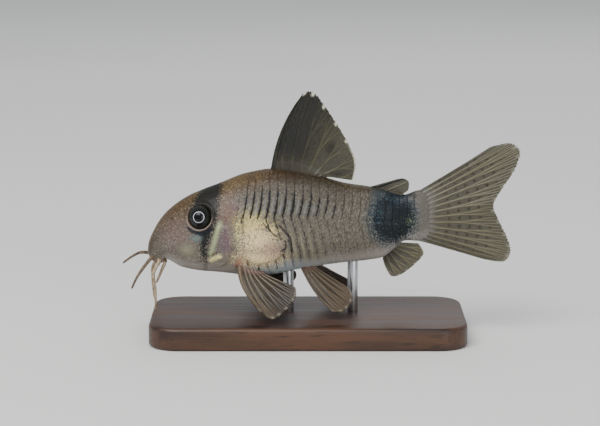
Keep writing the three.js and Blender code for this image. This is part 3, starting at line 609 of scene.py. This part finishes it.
def makeEye(node):
    centre, axis = eyePlace(sideOf(node))
    deselectAll()
    bpy.ops.mesh.primitive_uv_sphere_add(segments=64, ring_count=40, radius=eye["ball"] * mm)
    ball = bpy.context.object
    ball.name = ball.data.name = camelCase(node)
    spots = np.zeros(len(ball.data.vertices) * 3)
    ball.data.vertices.foreach_get("co", spots)
    spots = spots.reshape(-1, 3)
    away = np.hypot(spots[:, 0], spots[:, 1]) / mm
    polar = np.arccos(np.clip(spots[:, 2] / np.linalg.norm(spots, axis=1), -1, 1))
    spots *= (1 + eye["cornea"] / eye["ball"] * np.exp(-(polar / 0.5) ** 4))[:, None]
    ball.data.vertices.foreach_set("co", spots.ravel())
    writeAttribute(ball.data, "fromPupil", np.where(polar < math.pi / 2, away, eye["ball"]))
    ball.data.transform(Matrix.Translation(centre * mm) @ axis.to_track_quat("Z", "Y").to_matrix().to_4x4())
    pickOnly(ball)
    bpy.ops.object.shade_smooth()
    return ball


def wetEye():
    # A fish's eye: a dark iris with a thin silver ring round the pupil, under a clear wet cornea.
    material, tree = startMaterial("wetEye")[:2]
    away = addNode(tree, "ShaderNodeAttribute", attribute_name="fromPupil").outputs["Fac"]
    share = addNode(tree, "ShaderNodeMath", {0: away, 1: eye["ball"]}, operation="DIVIDE")
    iris = addNode(tree, "ShaderNodeValToRGB", {"Fac": share})
    stops = [(0.0, "#010102"), (0.345, "#020204"), (0.36, "#8a93a0"), (0.375, "#e9e6ea"), (0.395, "#bfc3cc"),
             (0.415, "#0f1216"), (0.56, "#0a0c0b"), (0.72, "#1b1e18"), (0.86, "#131511"), (0.96, "#2c2822")]
    while len(iris.color_ramp.elements) < len(stops):
        iris.color_ramp.elements.new(0.5)
    for element, (position, colour) in zip(iris.color_ramp.elements, stops):
        element.position = position
        element.color = linear(colour)
    # the index of refraction is a cornea's
    return endMaterial(material, {"Base Color": iris, "Roughness": 0.25, "IOR": 1.376,
                                  "Specular IOR Level": 0.25, "Coat Weight": 0.3, "Coat Roughness": 0.03})


eyeFinish = wetEye()
for eyeNode in ("eye_left", "eye_right"):
    finishPiece(makeEye(eyeNode), eyeFinish, "eyes", eyeNode)
print("eyes made")


# Fins
def curveThrough(points, t):
    # a centripetal curve through a few points, read at shares t of the way along
    p = np.array(points, float)
    p = np.vstack([2 * p[0] - p[1], p, 2 * p[-1] - p[-2]])
    at = np.clip(np.asarray(t, float), 0, 1) * (len(p) - 3)
    i = np.minimum(at.astype(int), len(p) - 4)
    f = (at - i)[..., None]
    a, b, c, d = (p[i + k] for k in range(4))
    gap = [np.sqrt(np.linalg.norm(v, axis=-1, keepdims=True)) for v in (b - a, c - b, d - c)]
    m = ((b - a) / gap[0] - (c - a) / (gap[0] + gap[1]) + (c - b) / gap[1]) * gap[1]
    n = ((c - b) / gap[1] - (d - b) / (gap[1] + gap[2]) + (d - c) / gap[2]) * gap[1]
    return b + f * (m + f * (3 * (c - b) - 2 * m - n + f * (2 * (b - c) + m + n)))


# How dark each fin is, by share across its rays from the leading one and share of the way out
def dorsalDark(t, r):
    front = smoothstep(0.7, 0.28, t) * (0.4 + 0.6 * smoothstep(0.04, 0.26, r))
    flash = 0.6 * gauss(t, 0.66, 0.045) * gauss(r, 0.62, 0.13)
    lowFlash = 0.5 * gauss(t, 0.93, 0.035) * gauss(r, 0.45, 0.2)
    return np.maximum(0.22 + 0.78 * front + flash + lowFlash, smoothstep(0.07, 0.04, t))


def adiposeDark(t, r):
    return 0.95 * smoothstep(0.3, 0.12, t) + 0.3 * smoothstep(0.5, 0, r)


def caudalDark(t, r):
    # dark at the leading ray, and the lower lobe is darkened as painted shade
    return 0.1 + 0.5 * smoothstep(0.05, 0, t) + 0.25 * smoothstep(0.72, 0.95, t)


def analDark(t, r):
    return 0.15 + 0.6 * gauss(r, 0.15, 0.3) * smoothstep(1.0, 0.4, t)


def pectoralDark(t, r):
    return 0.15 + 0.6 * smoothstep(0.2, 0.5, t) * smoothstep(0.3, 0.7, r)


def pelvicDark(t, r):
    return 0.15 + 0.2 * gauss(r, 0.6, 0.2)


# Root and margin run from the leading ray to the last one, bow bends the rays in the fin's plane, and dots,
# streaks, tips and edge say how strong those marks are.
fins = {
    "dorsal_fin": {
        "finish": "smokyDorsalMembrane",
        "rays": 8, "spine": 0.34, "sunk": 0.12, "bow": (-0.55, 0, 0.3), "wave": 0.12,
        "root": [[-4.9, 0, 22.7], [-1.9, 0, 22.45], [0.9, 0, 21.9], [2.6, 0, 21.4]],
        "margin": [[-1.2, 0, 31.8], [-0.3, 0, 32.8], [0.8, 0.1, 32.7], [2.2, 0.2, 31.0],
                   [3.8, 0.25, 28.6], [5.2, 0.3, 26.2], [6.4, 0.2, 23.4], [6.1, 0, 20.9]],
        "dark": dorsalDark, "dots": 0.25, "rounded": 0.03, "streaks": 0.6, "tips": 1.0, "edge": 0.7,
    },
    "adipose_fin": {
        "finish": "smokyDorsalMembrane",
        "rays": 3, "spine": 0.28, "sunk": 0.25, "bow": (0, 0, 0), "wave": 0, "forked": False,
        "root": [[8.8, 0, 20.2], [10.6, 0, 19.6], [12.7, 0, 19.1]],
        "margin": [[12.6, 0, 21.3], [13.4, 0, 20.8], [13.5, 0, 19.7]],
        "dark": adiposeDark, "dots": 0, "rounded": 0.2, "streaks": 0.1, "tips": 0, "edge": 0.4,
    },
    "caudal_fin": {
        "finish": "clearTailMembrane",
        "rays": 14, "spine": 0, "sunk": 0.1, "bow": (0, 0, 0), "wave": 0.2,
        "root": [[15.1, 0, 19.7], [16.0, 0, 18.2], [16.2, 0, 16.2], [16.0, 0, 14.2], [15.1, 0, 12.7]],
        "margin": [[24.6, 0.5, 25.5], [27.2, 0.8, 25.8], [28.3, 0.9, 24.8], [27.8, 0.7, 22.6],
                   [26.0, 0.3, 19.8], [24.8, 0, 17.6], [25.5, 0.3, 15.6],
                   [26.7, 0.7, 13.2], [27.3, 0.9, 11.2], [26.6, 0.8, 9.8], [24.0, 0.5, 10.0]],
        "dark": caudalDark, "dots": 0.75, "rounded": 0.02, "streaks": 0.4, "tips": 0.2, "edge": 0.1,
    },
    "anal_fin": {
        "finish": "clearTailMembrane",
        "rays": 7, "spine": 0, "sunk": 0.25, "bow": (-0.3, 0, 0), "wave": 0.05,
        "root": [[10.0, 0, 10.6], [11.2, 0, 11.5], [12.4, 0, 12.5]],
        "margin": [[11.4, 0, 7.6], [12.8, 0, 8.3], [14.4, 0, 9.6], [15.5, 0, 11.0], [15.0, 0, 12.4]],
        "dark": analDark, "dots": 0.3, "rounded": 0.1, "streaks": 0.5, "tips": 0.3, "edge": 0.5,
    },
    "pectoral_fin": {
        "finish": "pairedFinMembrane", "paired": True,
        "rays": 8, "spine": 0.36, "sunk": 0.25, "bow": (-0.9, -0.3, 0.2), "wave": 0.08,
        "root": [[-9.3, -4.3, 10.3], [-8.2, -4.4, 9.6], [-7.0, -4.3, 9.2], [-6.0, -4.0, 9.0]],
        "margin": [[-6.0, -8.4, 4.6], [-4.7, -8.6, 3.9], [-3.2, -8.0, 4.6],
                   [-1.7, -6.6, 6.2], [-1.4, -5.3, 7.4]],
        "dark": pectoralDark, "dots": 0.3, "rounded": 0.06, "streaks": 0.45, "tips": 0.2, "edge": 0.2,
    },
    "pelvic_fin": {
        "finish": "pairedFinMembrane", "paired": True,
        "rays": 6, "spine": 0, "sunk": 0.25, "bow": (-0.4, -0.3, -0.2), "wave": 0.06,
        "root": [[-0.9, -2.3, 9.5], [0.1, -2.2, 9.4], [0.9, -1.9, 9.5]],
        "margin": [[3.6, -5.6, 3.9], [5.0, -5.0, 4.4], [5.9, -4.0, 5.6], [5.6, -3.0, 6.8]],
        "dark": pelvicDark, "dots": 0.3, "rounded": 0.08, "streaks": 0.35, "tips": 0.2, "edge": 0.2,
    },
}


# How every fin is made: membrane and rays in mm, and faces from ray to ray and from root to margin
finForm = {"halfMembrane": 0.045, "rayHeight": 0.1, "rayWidth": 0.125, "rootSwell": 0.19, "jointEvery": 0.34,
           "dotsEvery": 1.4, "perRay": 30, "outward": 70}


def makeFin(node, fin):
    mirror = np.array([1, -sideOf(node), 1.0])
    root, margin, bow = (np.array(fin[k], float) * mirror for k in ("root", "margin", "bow"))
    rays, rows = fin["rays"], finForm["outward"]
    columns = (rays - 1) * finForm["perRay"]
    across, outward = np.linspace(0, 1, columns + 1), np.linspace(-fin["sunk"], 1, rows + 1)
    t, out = np.meshgrid(across, outward, indexing="ij")

    def place(t, r):
        near, far = curveThrough(root, t), curveThrough(margin, t)
        curve = (4 * np.maximum(r, 0) * (1 - r) * (1 - t))[..., None]
        return near + (far - near) * r[..., None] + bow * curve

    # rays fork twice, and their branches spread till they lie evenly along the margin
    width = np.linalg.norm(np.gradient(place(t, out), axis=0), axis=-1) * columns
    spacing = 1 / (rays - 1)
    wide = finForm["rayWidth"] - 0.06 * np.clip(out, 0, 1)
    rayRidge = np.zeros(t.shape)
    for k in range(rays):
        forks = fin.get("forked", True) and not (k == 0 and fin["spine"])
        first = forks * 0.25 * spacing * smoothstep(0.22, 0.95, out)
        second = forks * 0.125 * spacing * smoothstep(0.5, 1.0, out)
        for one in (-1, 1):
            for two in (-1, 1):
                away = np.abs(t - k * spacing - one * first - two * second) * width
                rayRidge = np.maximum(rayRidge, gauss(away, 0, wide))
    shown = np.clip(out, 0, 1)
    lengthOut = np.linalg.norm(place(t, np.ones_like(out)) - place(t, np.zeros_like(out)), axis=-1) * shown
    rounding = 1 - fin["rounded"] * np.abs(2 * t - 1) ** 8 * shown ** 2
    fray = 0.5 + 0.5 * np.sin(t * 173.0 + 2.0 * np.sin(t * 61.0))
    notch = shown ** 3 * (1 - rayRidge[:, -1:]) * (0.008 + 0.01 * fray)
    sheet = place(t, out * rounding * (1 - notch))
    facing = np.cross(np.gradient(sheet, axis=0), np.gradient(sheet, axis=1))
    facing /= np.maximum(np.linalg.norm(facing, axis=-1, keepdims=True), 1e-12)
    ripple = fin["wave"] * np.sin(t * 9.0 + 1.1) * np.sin(shown * 4.0) * shown
    sheet = sheet + facing * ripple[..., None]
    half = finForm["halfMembrane"] + finForm["rayHeight"] * rayRidge * (1 - 0.5 * shown)
    half = half + finForm["rootSwell"] * smoothstep(0.14, -0.03, out)
    joints = 0.5 + 0.5 * np.cos(lengthOut * 2 * math.pi / finForm["jointEvery"])
    half = half - 0.018 * rayRidge * joints * smoothstep(0.15, 0.3, out)
    if fin["spine"]:
        radius = fin["spine"] * (1 - 0.55 * shown)
        fromEdge = t * width
        bone = np.sqrt(np.clip(1 - ((fromEdge - radius) / radius) ** 2, 0, 1)) * (fromEdge < 2 * radius)
        half = np.maximum(half, radius * bone)
        rayRidge = np.maximum(rayRidge, bone)
    half[0] = np.minimum(half[0], 0.04)

    piece, i, j = sheetOfGrid(camelCase(node), columns, rows)
    piece.data.vertices.foreach_set("co", (sheet[i, j] * mm).ravel())
    between = (0.5 - 0.5 * np.cos(2 * math.pi * t / spacing)) ** 2       # 1 halfway from one ray to the next
    shift = 0.8 + 0.5 * np.sin(np.floor(t / spacing) * 2.3)
    rowsOfDots = np.clip(np.cos(lengthOut * 2 * math.pi / finForm["dotsEvery"] + shift), 0, 1) ** 1.5
    rowsOfDots = rowsOfDots * between * (1 - rayRidge)
    rowsOfDots = rowsOfDots * smoothstep(0.08, 0.2, out) * smoothstep(1.0, 0.75, out)
    nearest = np.abs(t / spacing - np.rint(t / spacing)) * spacing * width
    tips = fin["tips"] * gauss(nearest, 0, 0.2) * smoothstep(0.945, 0.965, out)
    edge = fin["edge"] * smoothstep(0.7, 0.85, t) * smoothstep(0.95, 0.98, out)
    beside = 4 * rayRidge * (1 - rayRidge) * smoothstep(0.08, 0.3, out)
    # how dark each fin's cells are, with painted shade on the tail fin's lower lobe
    pigmentAndShade = np.clip(fin["dark"](t, shown), 0, 1)
    marks = {"ray": rayRidge, "pigmentAndShade": pigmentAndShade, "dots": rowsOfDots * fin["dots"], "out": shown,
             "streak": fin["streaks"] * beside, "tips": np.maximum(tips, edge)}
    for word, values in marks.items():
        writeAttribute(piece.data, word, values[i, j])
    thicken(piece, half[i, j])
    return piece


def thicken(piece, half):
    # gives a sheet its own half thickness at each point
    most = half.max()
    shares = np.round(half / most, 3)
    thick = piece.vertex_groups.new(name="thickness")
    for share in np.unique(shares):
        thick.add(np.nonzero(shares == share)[0].tolist(), float(share), "REPLACE")
    wall = piece.modifiers.new("wall", "SOLIDIFY")
    wall.thickness = 2 * most * mm
    wall.offset = 0
    wall.vertex_group = "thickness"
    wall.thickness_vertex_group = 0
    wall.use_even_offset = False
    wall.use_quality_normals = True
    pickOnly(piece)
    faces = len(piece.data.polygons)
    bpy.ops.object.modifier_apply(modifier=wall.name)
    halveUnwrap(piece.data, faces)
    bpy.ops.object.shade_smooth()


def halveUnwrap(mesh, faces):
    # the front face of a fin takes the left half of its unwrap and the back face the right half
    layer = mesh.uv_layers["OFBake"].data
    places = np.zeros(len(layer) * 2, np.float32)
    layer.foreach_get("uv", places)
    places = places.reshape(-1, 2)
    places[:, 0] *= 0.49
    starts = np.zeros(len(mesh.polygons), int)
    mesh.polygons.foreach_get("loop_start", starts)
    places[starts[faces]:, 0] += 0.505
    layer.foreach_set("uv", places.ravel())


finPaint = {
    # colour of the clear membrane, of the rays, of the dark cells and painted shade, and of the skin over the
    # root
    "membranes": {
        "smokyDorsalMembrane": ("#38341f", "#5d5940", "#060708", "#474033"),
        "clearTailMembrane": ("#403b26", "#777158", "#1e1a13", "#68645d"),
        "pairedFinMembrane": ("#3f3526", "#6e5e4b", "#100d0a", "#6f574b"),
    },
    "tips": "#dcd7c2", "membraneSeen": 0.78, "raySeen": 0.94, "speckle": 0.25,
}


def finMembrane(name, smoke, ray, darkness, fleshy):
    # Wet membrane about 0.1 mm thick, which light passes, stretched between bony rays that it doesn't.
    material, tree, place = startMaterial(name)
    marks = {}
    for word in ("ray", "streak", "pigmentAndShade", "dots", "tips", "out"):
        marks[word] = addNode(tree, "ShaderNodeAttribute", attribute_name=word).outputs["Fac"]
    cellSize = perMm(finPaint["speckle"])
    cells = addNode(tree, "ShaderNodeTexNoise", {"Vector": place, "Scale": cellSize, "Detail": 3})
    speckled = addNode(tree, "ShaderNodeMapRange", {"Value": cells, "From Min": 0.38, "From Max": 0.62,
                                                    "To Min": 0.75, "To Max": 1.0})
    inkedAndShaded = addNode(tree, "ShaderNodeMath", {0: marks["pigmentAndShade"], 1: speckled}, operation="MULTIPLY")
    inkedAndShaded = addNode(tree, "ShaderNodeMath", {0: inkedAndShaded, 1: marks["dots"]}, operation="MAXIMUM")
    streaked = addNode(tree, "ShaderNodeMath", {0: marks["streak"], 1: speckled}, operation="MULTIPLY")
    inkedAndShaded = addNode(tree, "ShaderNodeMath", {0: inkedAndShaded, 1: streaked}, operation="MAXIMUM")
    root = addNode(tree, "ShaderNodeMapRange", {"Value": marks["out"], "From Min": 0.12, "From Max": 0.01},
                   interpolation_type="SMOOTHSTEP")
    colour = linear(smoke)
    layers = [(marks["ray"], ray), (root, fleshy), (inkedAndShaded, darkness), (marks["tips"], finPaint["tips"])]
    for share, tint in layers:
        colour = addNode(tree, "ShaderNodeMix", {0: share, 6: colour, 7: linear(tint)}, data_type="RGBA")
    solid = addNode(tree, "ShaderNodeMapRange", {"Value": marks["ray"], "To Min": finPaint["membraneSeen"],
                                                 "To Max": finPaint["raySeen"]})
    solid = addNode(tree, "ShaderNodeMath", {0: solid, 1: root}, operation="MAXIMUM")
    solid = addNode(tree, "ShaderNodeMix", {0: inkedAndShaded, 2: solid, 3: 1.0}, data_type="FLOAT")
    grain = addNode(tree, "ShaderNodeBump", {"Height": cells, "Strength": 0.25, "Distance": 0.02 * mm})
    return endMaterial(material, {"Base Color": colour, "Alpha": solid, "Normal": grain, "Roughness": 0.4,
                                  "IOR": 1.38, "Coat Weight": 0.15, "Coat Roughness": 0.15})


membranes = {name: finMembrane(name, *colours) for name, colours in finPaint["membranes"].items()}
for stem, fin in fins.items():
    for finNode in (f"{stem}_left", f"{stem}_right") if fin.get("paired") else (stem,):
        finishPiece(makeFin(finNode, fin), membranes[fin["finish"]], "fins", finNode)
print("fins made")


# Barbels
barbels = {
    "rootRadius": 0.33, "tipRadius": 0.13, "chinRadius": 0.26, "points": 40,
    # where each grows from the lips, as a share of the way from back to belly, and the points that it passes
    "paths": {
        "upper_barbel_left": (0.4, [[-22.0, -2.6, 9.4], [-22.8, -3.2, 8.2], [-23.4, -3.6, 6.9]]),
        "upper_barbel_right": (0.4, [[-22.6, 2.8, 10.6], [-23.8, 3.6, 9.9], [-25.2, 4.3, 8.8]]),
        "lower_barbel_left": (0.62, [[-20.5, -2.6, 8.9], [-20.3, -2.6, 6.4], [-20.3, -2.5, 3.7]]),
        "lower_barbel_right": (0.62, [[-20.9, 2.7, 8.9], [-21.0, 2.9, 6.6], [-20.8, 2.9, 4.2]]),
        "chin_barbel_left": (0.86, [[-19.5, -1.2, 9.0], [-19.9, -1.2, 8.0], [-20.3, -1.1, 7.2]]),
        "chin_barbel_right": (0.86, [[-19.5, 1.2, 9.0], [-19.9, 1.2, 8.0], [-20.3, 1.1, 7.2]]),
    },
}


def makeBarbel(node, down, path):
    here = fleshAt(mouth, down * math.pi, sideOf(node))
    out = wayOut(mouth, down * math.pi, sideOf(node))
    last = barbels["points"] - 1
    line = curveThrough([here - 0.5 * out, here + 0.35 * out, *path], np.linspace(0, 1, last + 1))
    thick = barbels["chinRadius"] if node.startswith("chin") else barbels["rootRadius"]
    curve = bpy.data.curves.new(node, "CURVE")
    curve.dimensions = "3D"
    curve.bevel_depth = 1.0
    curve.bevel_resolution = 4
    curve.use_fill_caps = True
    spline = curve.splines.new("POLY")
    spline.points.add(last)
    for k, point in enumerate(line):
        share = k / last
        # soft rings along the feeler, and a rounded tip
        radius = (thick + (barbels["tipRadius"] - thick) * share ** 0.8) * (1 + 0.05 * math.sin(k * 2.1))
        radius *= math.sqrt(max(0.02, 1 - max(0.0, (share - 0.95) / 0.05) ** 2))
        spline.points[k].co = (*(point * mm), 1)
        spline.points[k].radius = radius * mm
    piece = bpy.data.objects.new(camelCase(node), curve)
    bpy.context.scene.collection.objects.link(piece)
    pickOnly(piece)
    bpy.ops.object.convert(target="MESH")
    piece = bpy.context.object
    bpy.ops.object.mode_set(mode="EDIT")
    bpy.ops.mesh.select_all(action="SELECT")
    bpy.ops.mesh.remove_doubles(threshold=1e-7)
    bpy.ops.mesh.normals_make_consistent(inside=False)
    bpy.ops.object.mode_set(mode="OBJECT")
    bpy.ops.object.shade_smooth()
    return piece


def softFeeler(name, pale, dusky):
    # Soft wet skin, tan or brown with scattered darker cells, thin enough to let a little light through.
    material, tree, place = startMaterial(name)
    specks = addNode(tree, "ShaderNodeTexNoise", {"Vector": place, "Scale": perMm(0.5), "Detail": 3.0})
    share = addNode(tree, "ShaderNodeMapRange", {"Value": specks, "From Min": 0.42, "From Max": 0.66})
    colour = addNode(tree, "ShaderNodeMix", {0: share, 6: linear(pale), 7: linear(dusky)}, data_type="RGBA")
    bumps = addNode(tree, "ShaderNodeTexNoise", {"Vector": place, "Scale": perMm(0.2), "Detail": 1.0})
    relief = addNode(tree, "ShaderNodeBump", {"Height": bumps, "Strength": 0.4, "Distance": 0.03 * mm})
    return endMaterial(material, {
        "Base Color": colour, "Normal": relief, "Roughness": 0.38, "IOR": 1.4, "Subsurface Weight": 0.15,
        "Subsurface Radius": (0.5, 0.3, 0.25), "Subsurface Scale": mm})


duskyFeeler = softFeeler("duskyFeeler", "#6f5c48", "#33281e")
paleFeeler = softFeeler("paleFeeler", "#ab9a7e", "#75634c")
for barbelNode, (barbelDown, barbelPath) in barbels["paths"].items():
    finish = duskyFeeler if barbelNode.startswith("upper") else paleFeeler
    finishPiece(makeBarbel(barbelNode, barbelDown, barbelPath), finish, "feelers", barbelNode)
print("barbels made")


# Stand
stand = {
    "length": 42, "width": 21, "height": 3, "corner": 4, "edge": 0.5, "rod": 0.7, "rodEdge": 0.08,
    "intoBelly": 0.9, "intoBase": 0.2,          # how far the rods reach past their solids, and into the base
    "rodPlaces": {"stand_rod_front": -2.6, "stand_rod_rear": 6.0},
}


def bevelWhere(piece, width, segments, test):
    # rounds the edges whose middle and direction pass the test
    pickOnly(piece)
    bpy.ops.object.mode_set(mode="EDIT")
    bpy.ops.mesh.select_mode(type="EDGE")
    bpy.ops.mesh.select_all(action="DESELECT")
    bpy.ops.object.mode_set(mode="OBJECT")
    for edge in piece.data.edges:
        a, b = (piece.data.vertices[v].co for v in edge.vertices)
        edge.select = test((a + b) / 2, (b - a).normalized())
    bpy.ops.object.mode_set(mode="EDIT")
    bpy.ops.mesh.bevel(offset=width * mm, segments=segments, affect="EDGES")
    bpy.ops.object.mode_set(mode="OBJECT")


def makeStandBase():
    deselectAll()
    size = (stand["length"] * mm, stand["width"] * mm, stand["height"] * mm)
    bpy.ops.mesh.primitive_cube_add(size=1, location=(0, 0, size[2] / 2), scale=size)
    base = bpy.context.object
    base.name = base.data.name = "standBase"
    bpy.ops.object.transform_apply(location=True, rotation=True, scale=True)
    nearFace = 0.49 * size[2]
    bevelWhere(base, stand["corner"], 10, lambda middle, along: abs(along.z) > 0.9)
    bevelWhere(base, stand["edge"], 4,
               lambda middle, along: abs(along.z) < 0.1 and abs(middle.z - size[2] / 2) > nearFace)
    bpy.ops.object.shade_smooth_by_angle(angle=math.radians(35))
    return base


def makeRod(name, x):
    top = float(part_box(name)[1].z) + stand["intoBelly"] * mm
    foot = (stand["height"] - stand["intoBase"]) * mm
    deselectAll()
    bpy.ops.mesh.primitive_cylinder_add(vertices=40, radius=stand["rod"] * mm, depth=top - foot,
                                        location=(x * mm, 0, (top + foot) / 2))
    rod = bpy.context.object
    rod.name = rod.data.name = camelCase(name)
    bpy.ops.object.transform_apply(location=True, rotation=True, scale=True)
    bevelWhere(rod, stand["rodEdge"], 2, lambda middle, along: abs(along.z) < 0.1)
    bpy.ops.object.shade_smooth_by_angle(angle=math.radians(35))
    return rod


def stainedWalnut():
    # Walnut, planed, stained dark and waxed: straight grain along the base, fine open pores, a satin shine.
    material, tree, place = startMaterial("stainedWalnut")
    along = addNode(tree, "ShaderNodeMapping", {"Vector": place, "Scale": (0.06, 1.0, 1.0)})
    rings = addNode(tree, "ShaderNodeTexNoise", {"Vector": along, "Scale": perMm(1.6), "Detail": 4.0,
                                                 "Distortion": 0.6})
    pores = addNode(tree, "ShaderNodeTexNoise", {"Vector": along, "Scale": perMm(0.22), "Detail": 2.0})
    grain = addNode(tree, "ShaderNodeMapRange", {"Value": rings, "From Min": 0.35, "From Max": 0.65})
    pitted = addNode(tree, "ShaderNodeMapRange", {"Value": pores, "From Min": 0.6, "From Max": 0.7,
                                                  "To Max": 0.7})
    wood = linear("#2b1a12")
    for share, tint in ((grain, "#50331f"), (pitted, "#170d08")):
        wood = addNode(tree, "ShaderNodeMix", {0: share, 6: wood, 7: linear(tint)}, data_type="RGBA")
    shine = addNode(tree, "ShaderNodeMapRange", {"Value": grain, "To Min": 0.36, "To Max": 0.5})
    relief = addNode(tree, "ShaderNodeBump", {"Height": pores, "Strength": 0.3, "Distance": 0.03 * mm})
    return endMaterial(material, {"Base Color": wood, "Roughness": shine, "Normal": relief})


def drawnSteel():
    # Stainless steel rod, drawn and lightly polished: faint rings round it and a soft grey shine.
    material, tree, place = startMaterial("drawnSteel")
    around = addNode(tree, "ShaderNodeMapping", {"Vector": place, "Scale": (0.15, 0.15, 1.0)})
    rings = addNode(tree, "ShaderNodeTexNoise", {"Vector": around, "Scale": perMm(0.1), "Detail": 2.0})
    shine = addNode(tree, "ShaderNodeMapRange", {"Value": rings, "To Min": 0.2, "To Max": 0.4})
    tone = addNode(tree, "ShaderNodeMix", {0: rings, 6: linear("#a8aaac"), 7: linear("#c9cbcd")},
                   data_type="RGBA")
    return endMaterial(material, {"Base Color": tone, "Roughness": shine, "Metallic": 1.0})


finishPiece(makeStandBase(), stainedWalnut(), "base", "stand_base")
rodFinish = drawnSteel()
for rodName, rodPlace in stand["rodPlaces"].items():
    finishPiece(makeRod(rodName, rodPlace), rodFinish, "rods", rodName)
print("stand made")


# Floor, light and camera
studio = {
    "target": (-1.06, 0, 16.5), "distance": 300, "elevation": 10, "viewAngle": 15.2,
    "lamps": {
        "key": {"place": (-0.16, -0.26, 0.42), "size": 0.34, "power": 2.6},
        "fill": {"place": (0.24, -0.42, 0.1), "size": 0.3, "power": 0.7},
        "rim": {"place": (0.1, 0.35, 0.3), "size": 0.3, "power": 0.3},
    },
    "room": "#e9edf2", "roomLight": 0.62,
}


def mattePaper():
    # Pale uncoated backdrop paper, matt, with the faintest unevenness.
    material, tree, place = startMaterial("mattePaper")
    cloud = addNode(tree, "ShaderNodeTexNoise", {"Vector": place, "Scale": perMm(80), "Detail": 2.0})
    tone = addNode(tree, "ShaderNodeMix", {0: cloud, 6: linear("#e3e2de"), 7: linear("#e9e8e5")},
                   data_type="RGBA")
    return endMaterial(material, {"Base Color": tone, "Roughness": 0.9})


deselectAll()
bpy.ops.mesh.primitive_plane_add(size=6, location=(0, 0, 0))
floor = bpy.context.object
floor.name = "studioFloor"
floor.data.materials.append(mattePaper())

middle = Vector(studio["target"]) * mm
for lampName, settings in studio["lamps"].items():
    bpy.ops.object.light_add(type="AREA", location=settings["place"])
    lamp = bpy.context.object
    lamp.name = lampName + "Light"
    lamp.data.size = settings["size"]
    lamp.data.energy = settings["power"]
    lamp.rotation_euler = (middle - lamp.location).to_track_quat("-Z", "Y").to_euler()

world = bpy.data.worlds.new("studioRoom")
bpy.context.scene.world = world
world.use_nodes = True
world.node_tree.nodes["Background"].inputs["Color"].default_value = linear(studio["room"])
world.node_tree.nodes["Background"].inputs["Strength"].default_value = studio["roomLight"]

tilt = math.radians(studio["elevation"])
bpy.ops.object.camera_add()
camera = bpy.context.object
camera.name = "photoCamera"
camera.data.angle = math.radians(studio["viewAngle"])
camera.data.clip_start = 0.01
camera.data.clip_end = 20
camera.location = middle + Vector((0, -math.cos(tilt), math.sin(tilt))) * studio["distance"] * mm
camera.rotation_euler = (middle - camera.location).to_track_quat("-Z", "Y").to_euler()
bpy.context.scene.camera = camera
print("stage set")
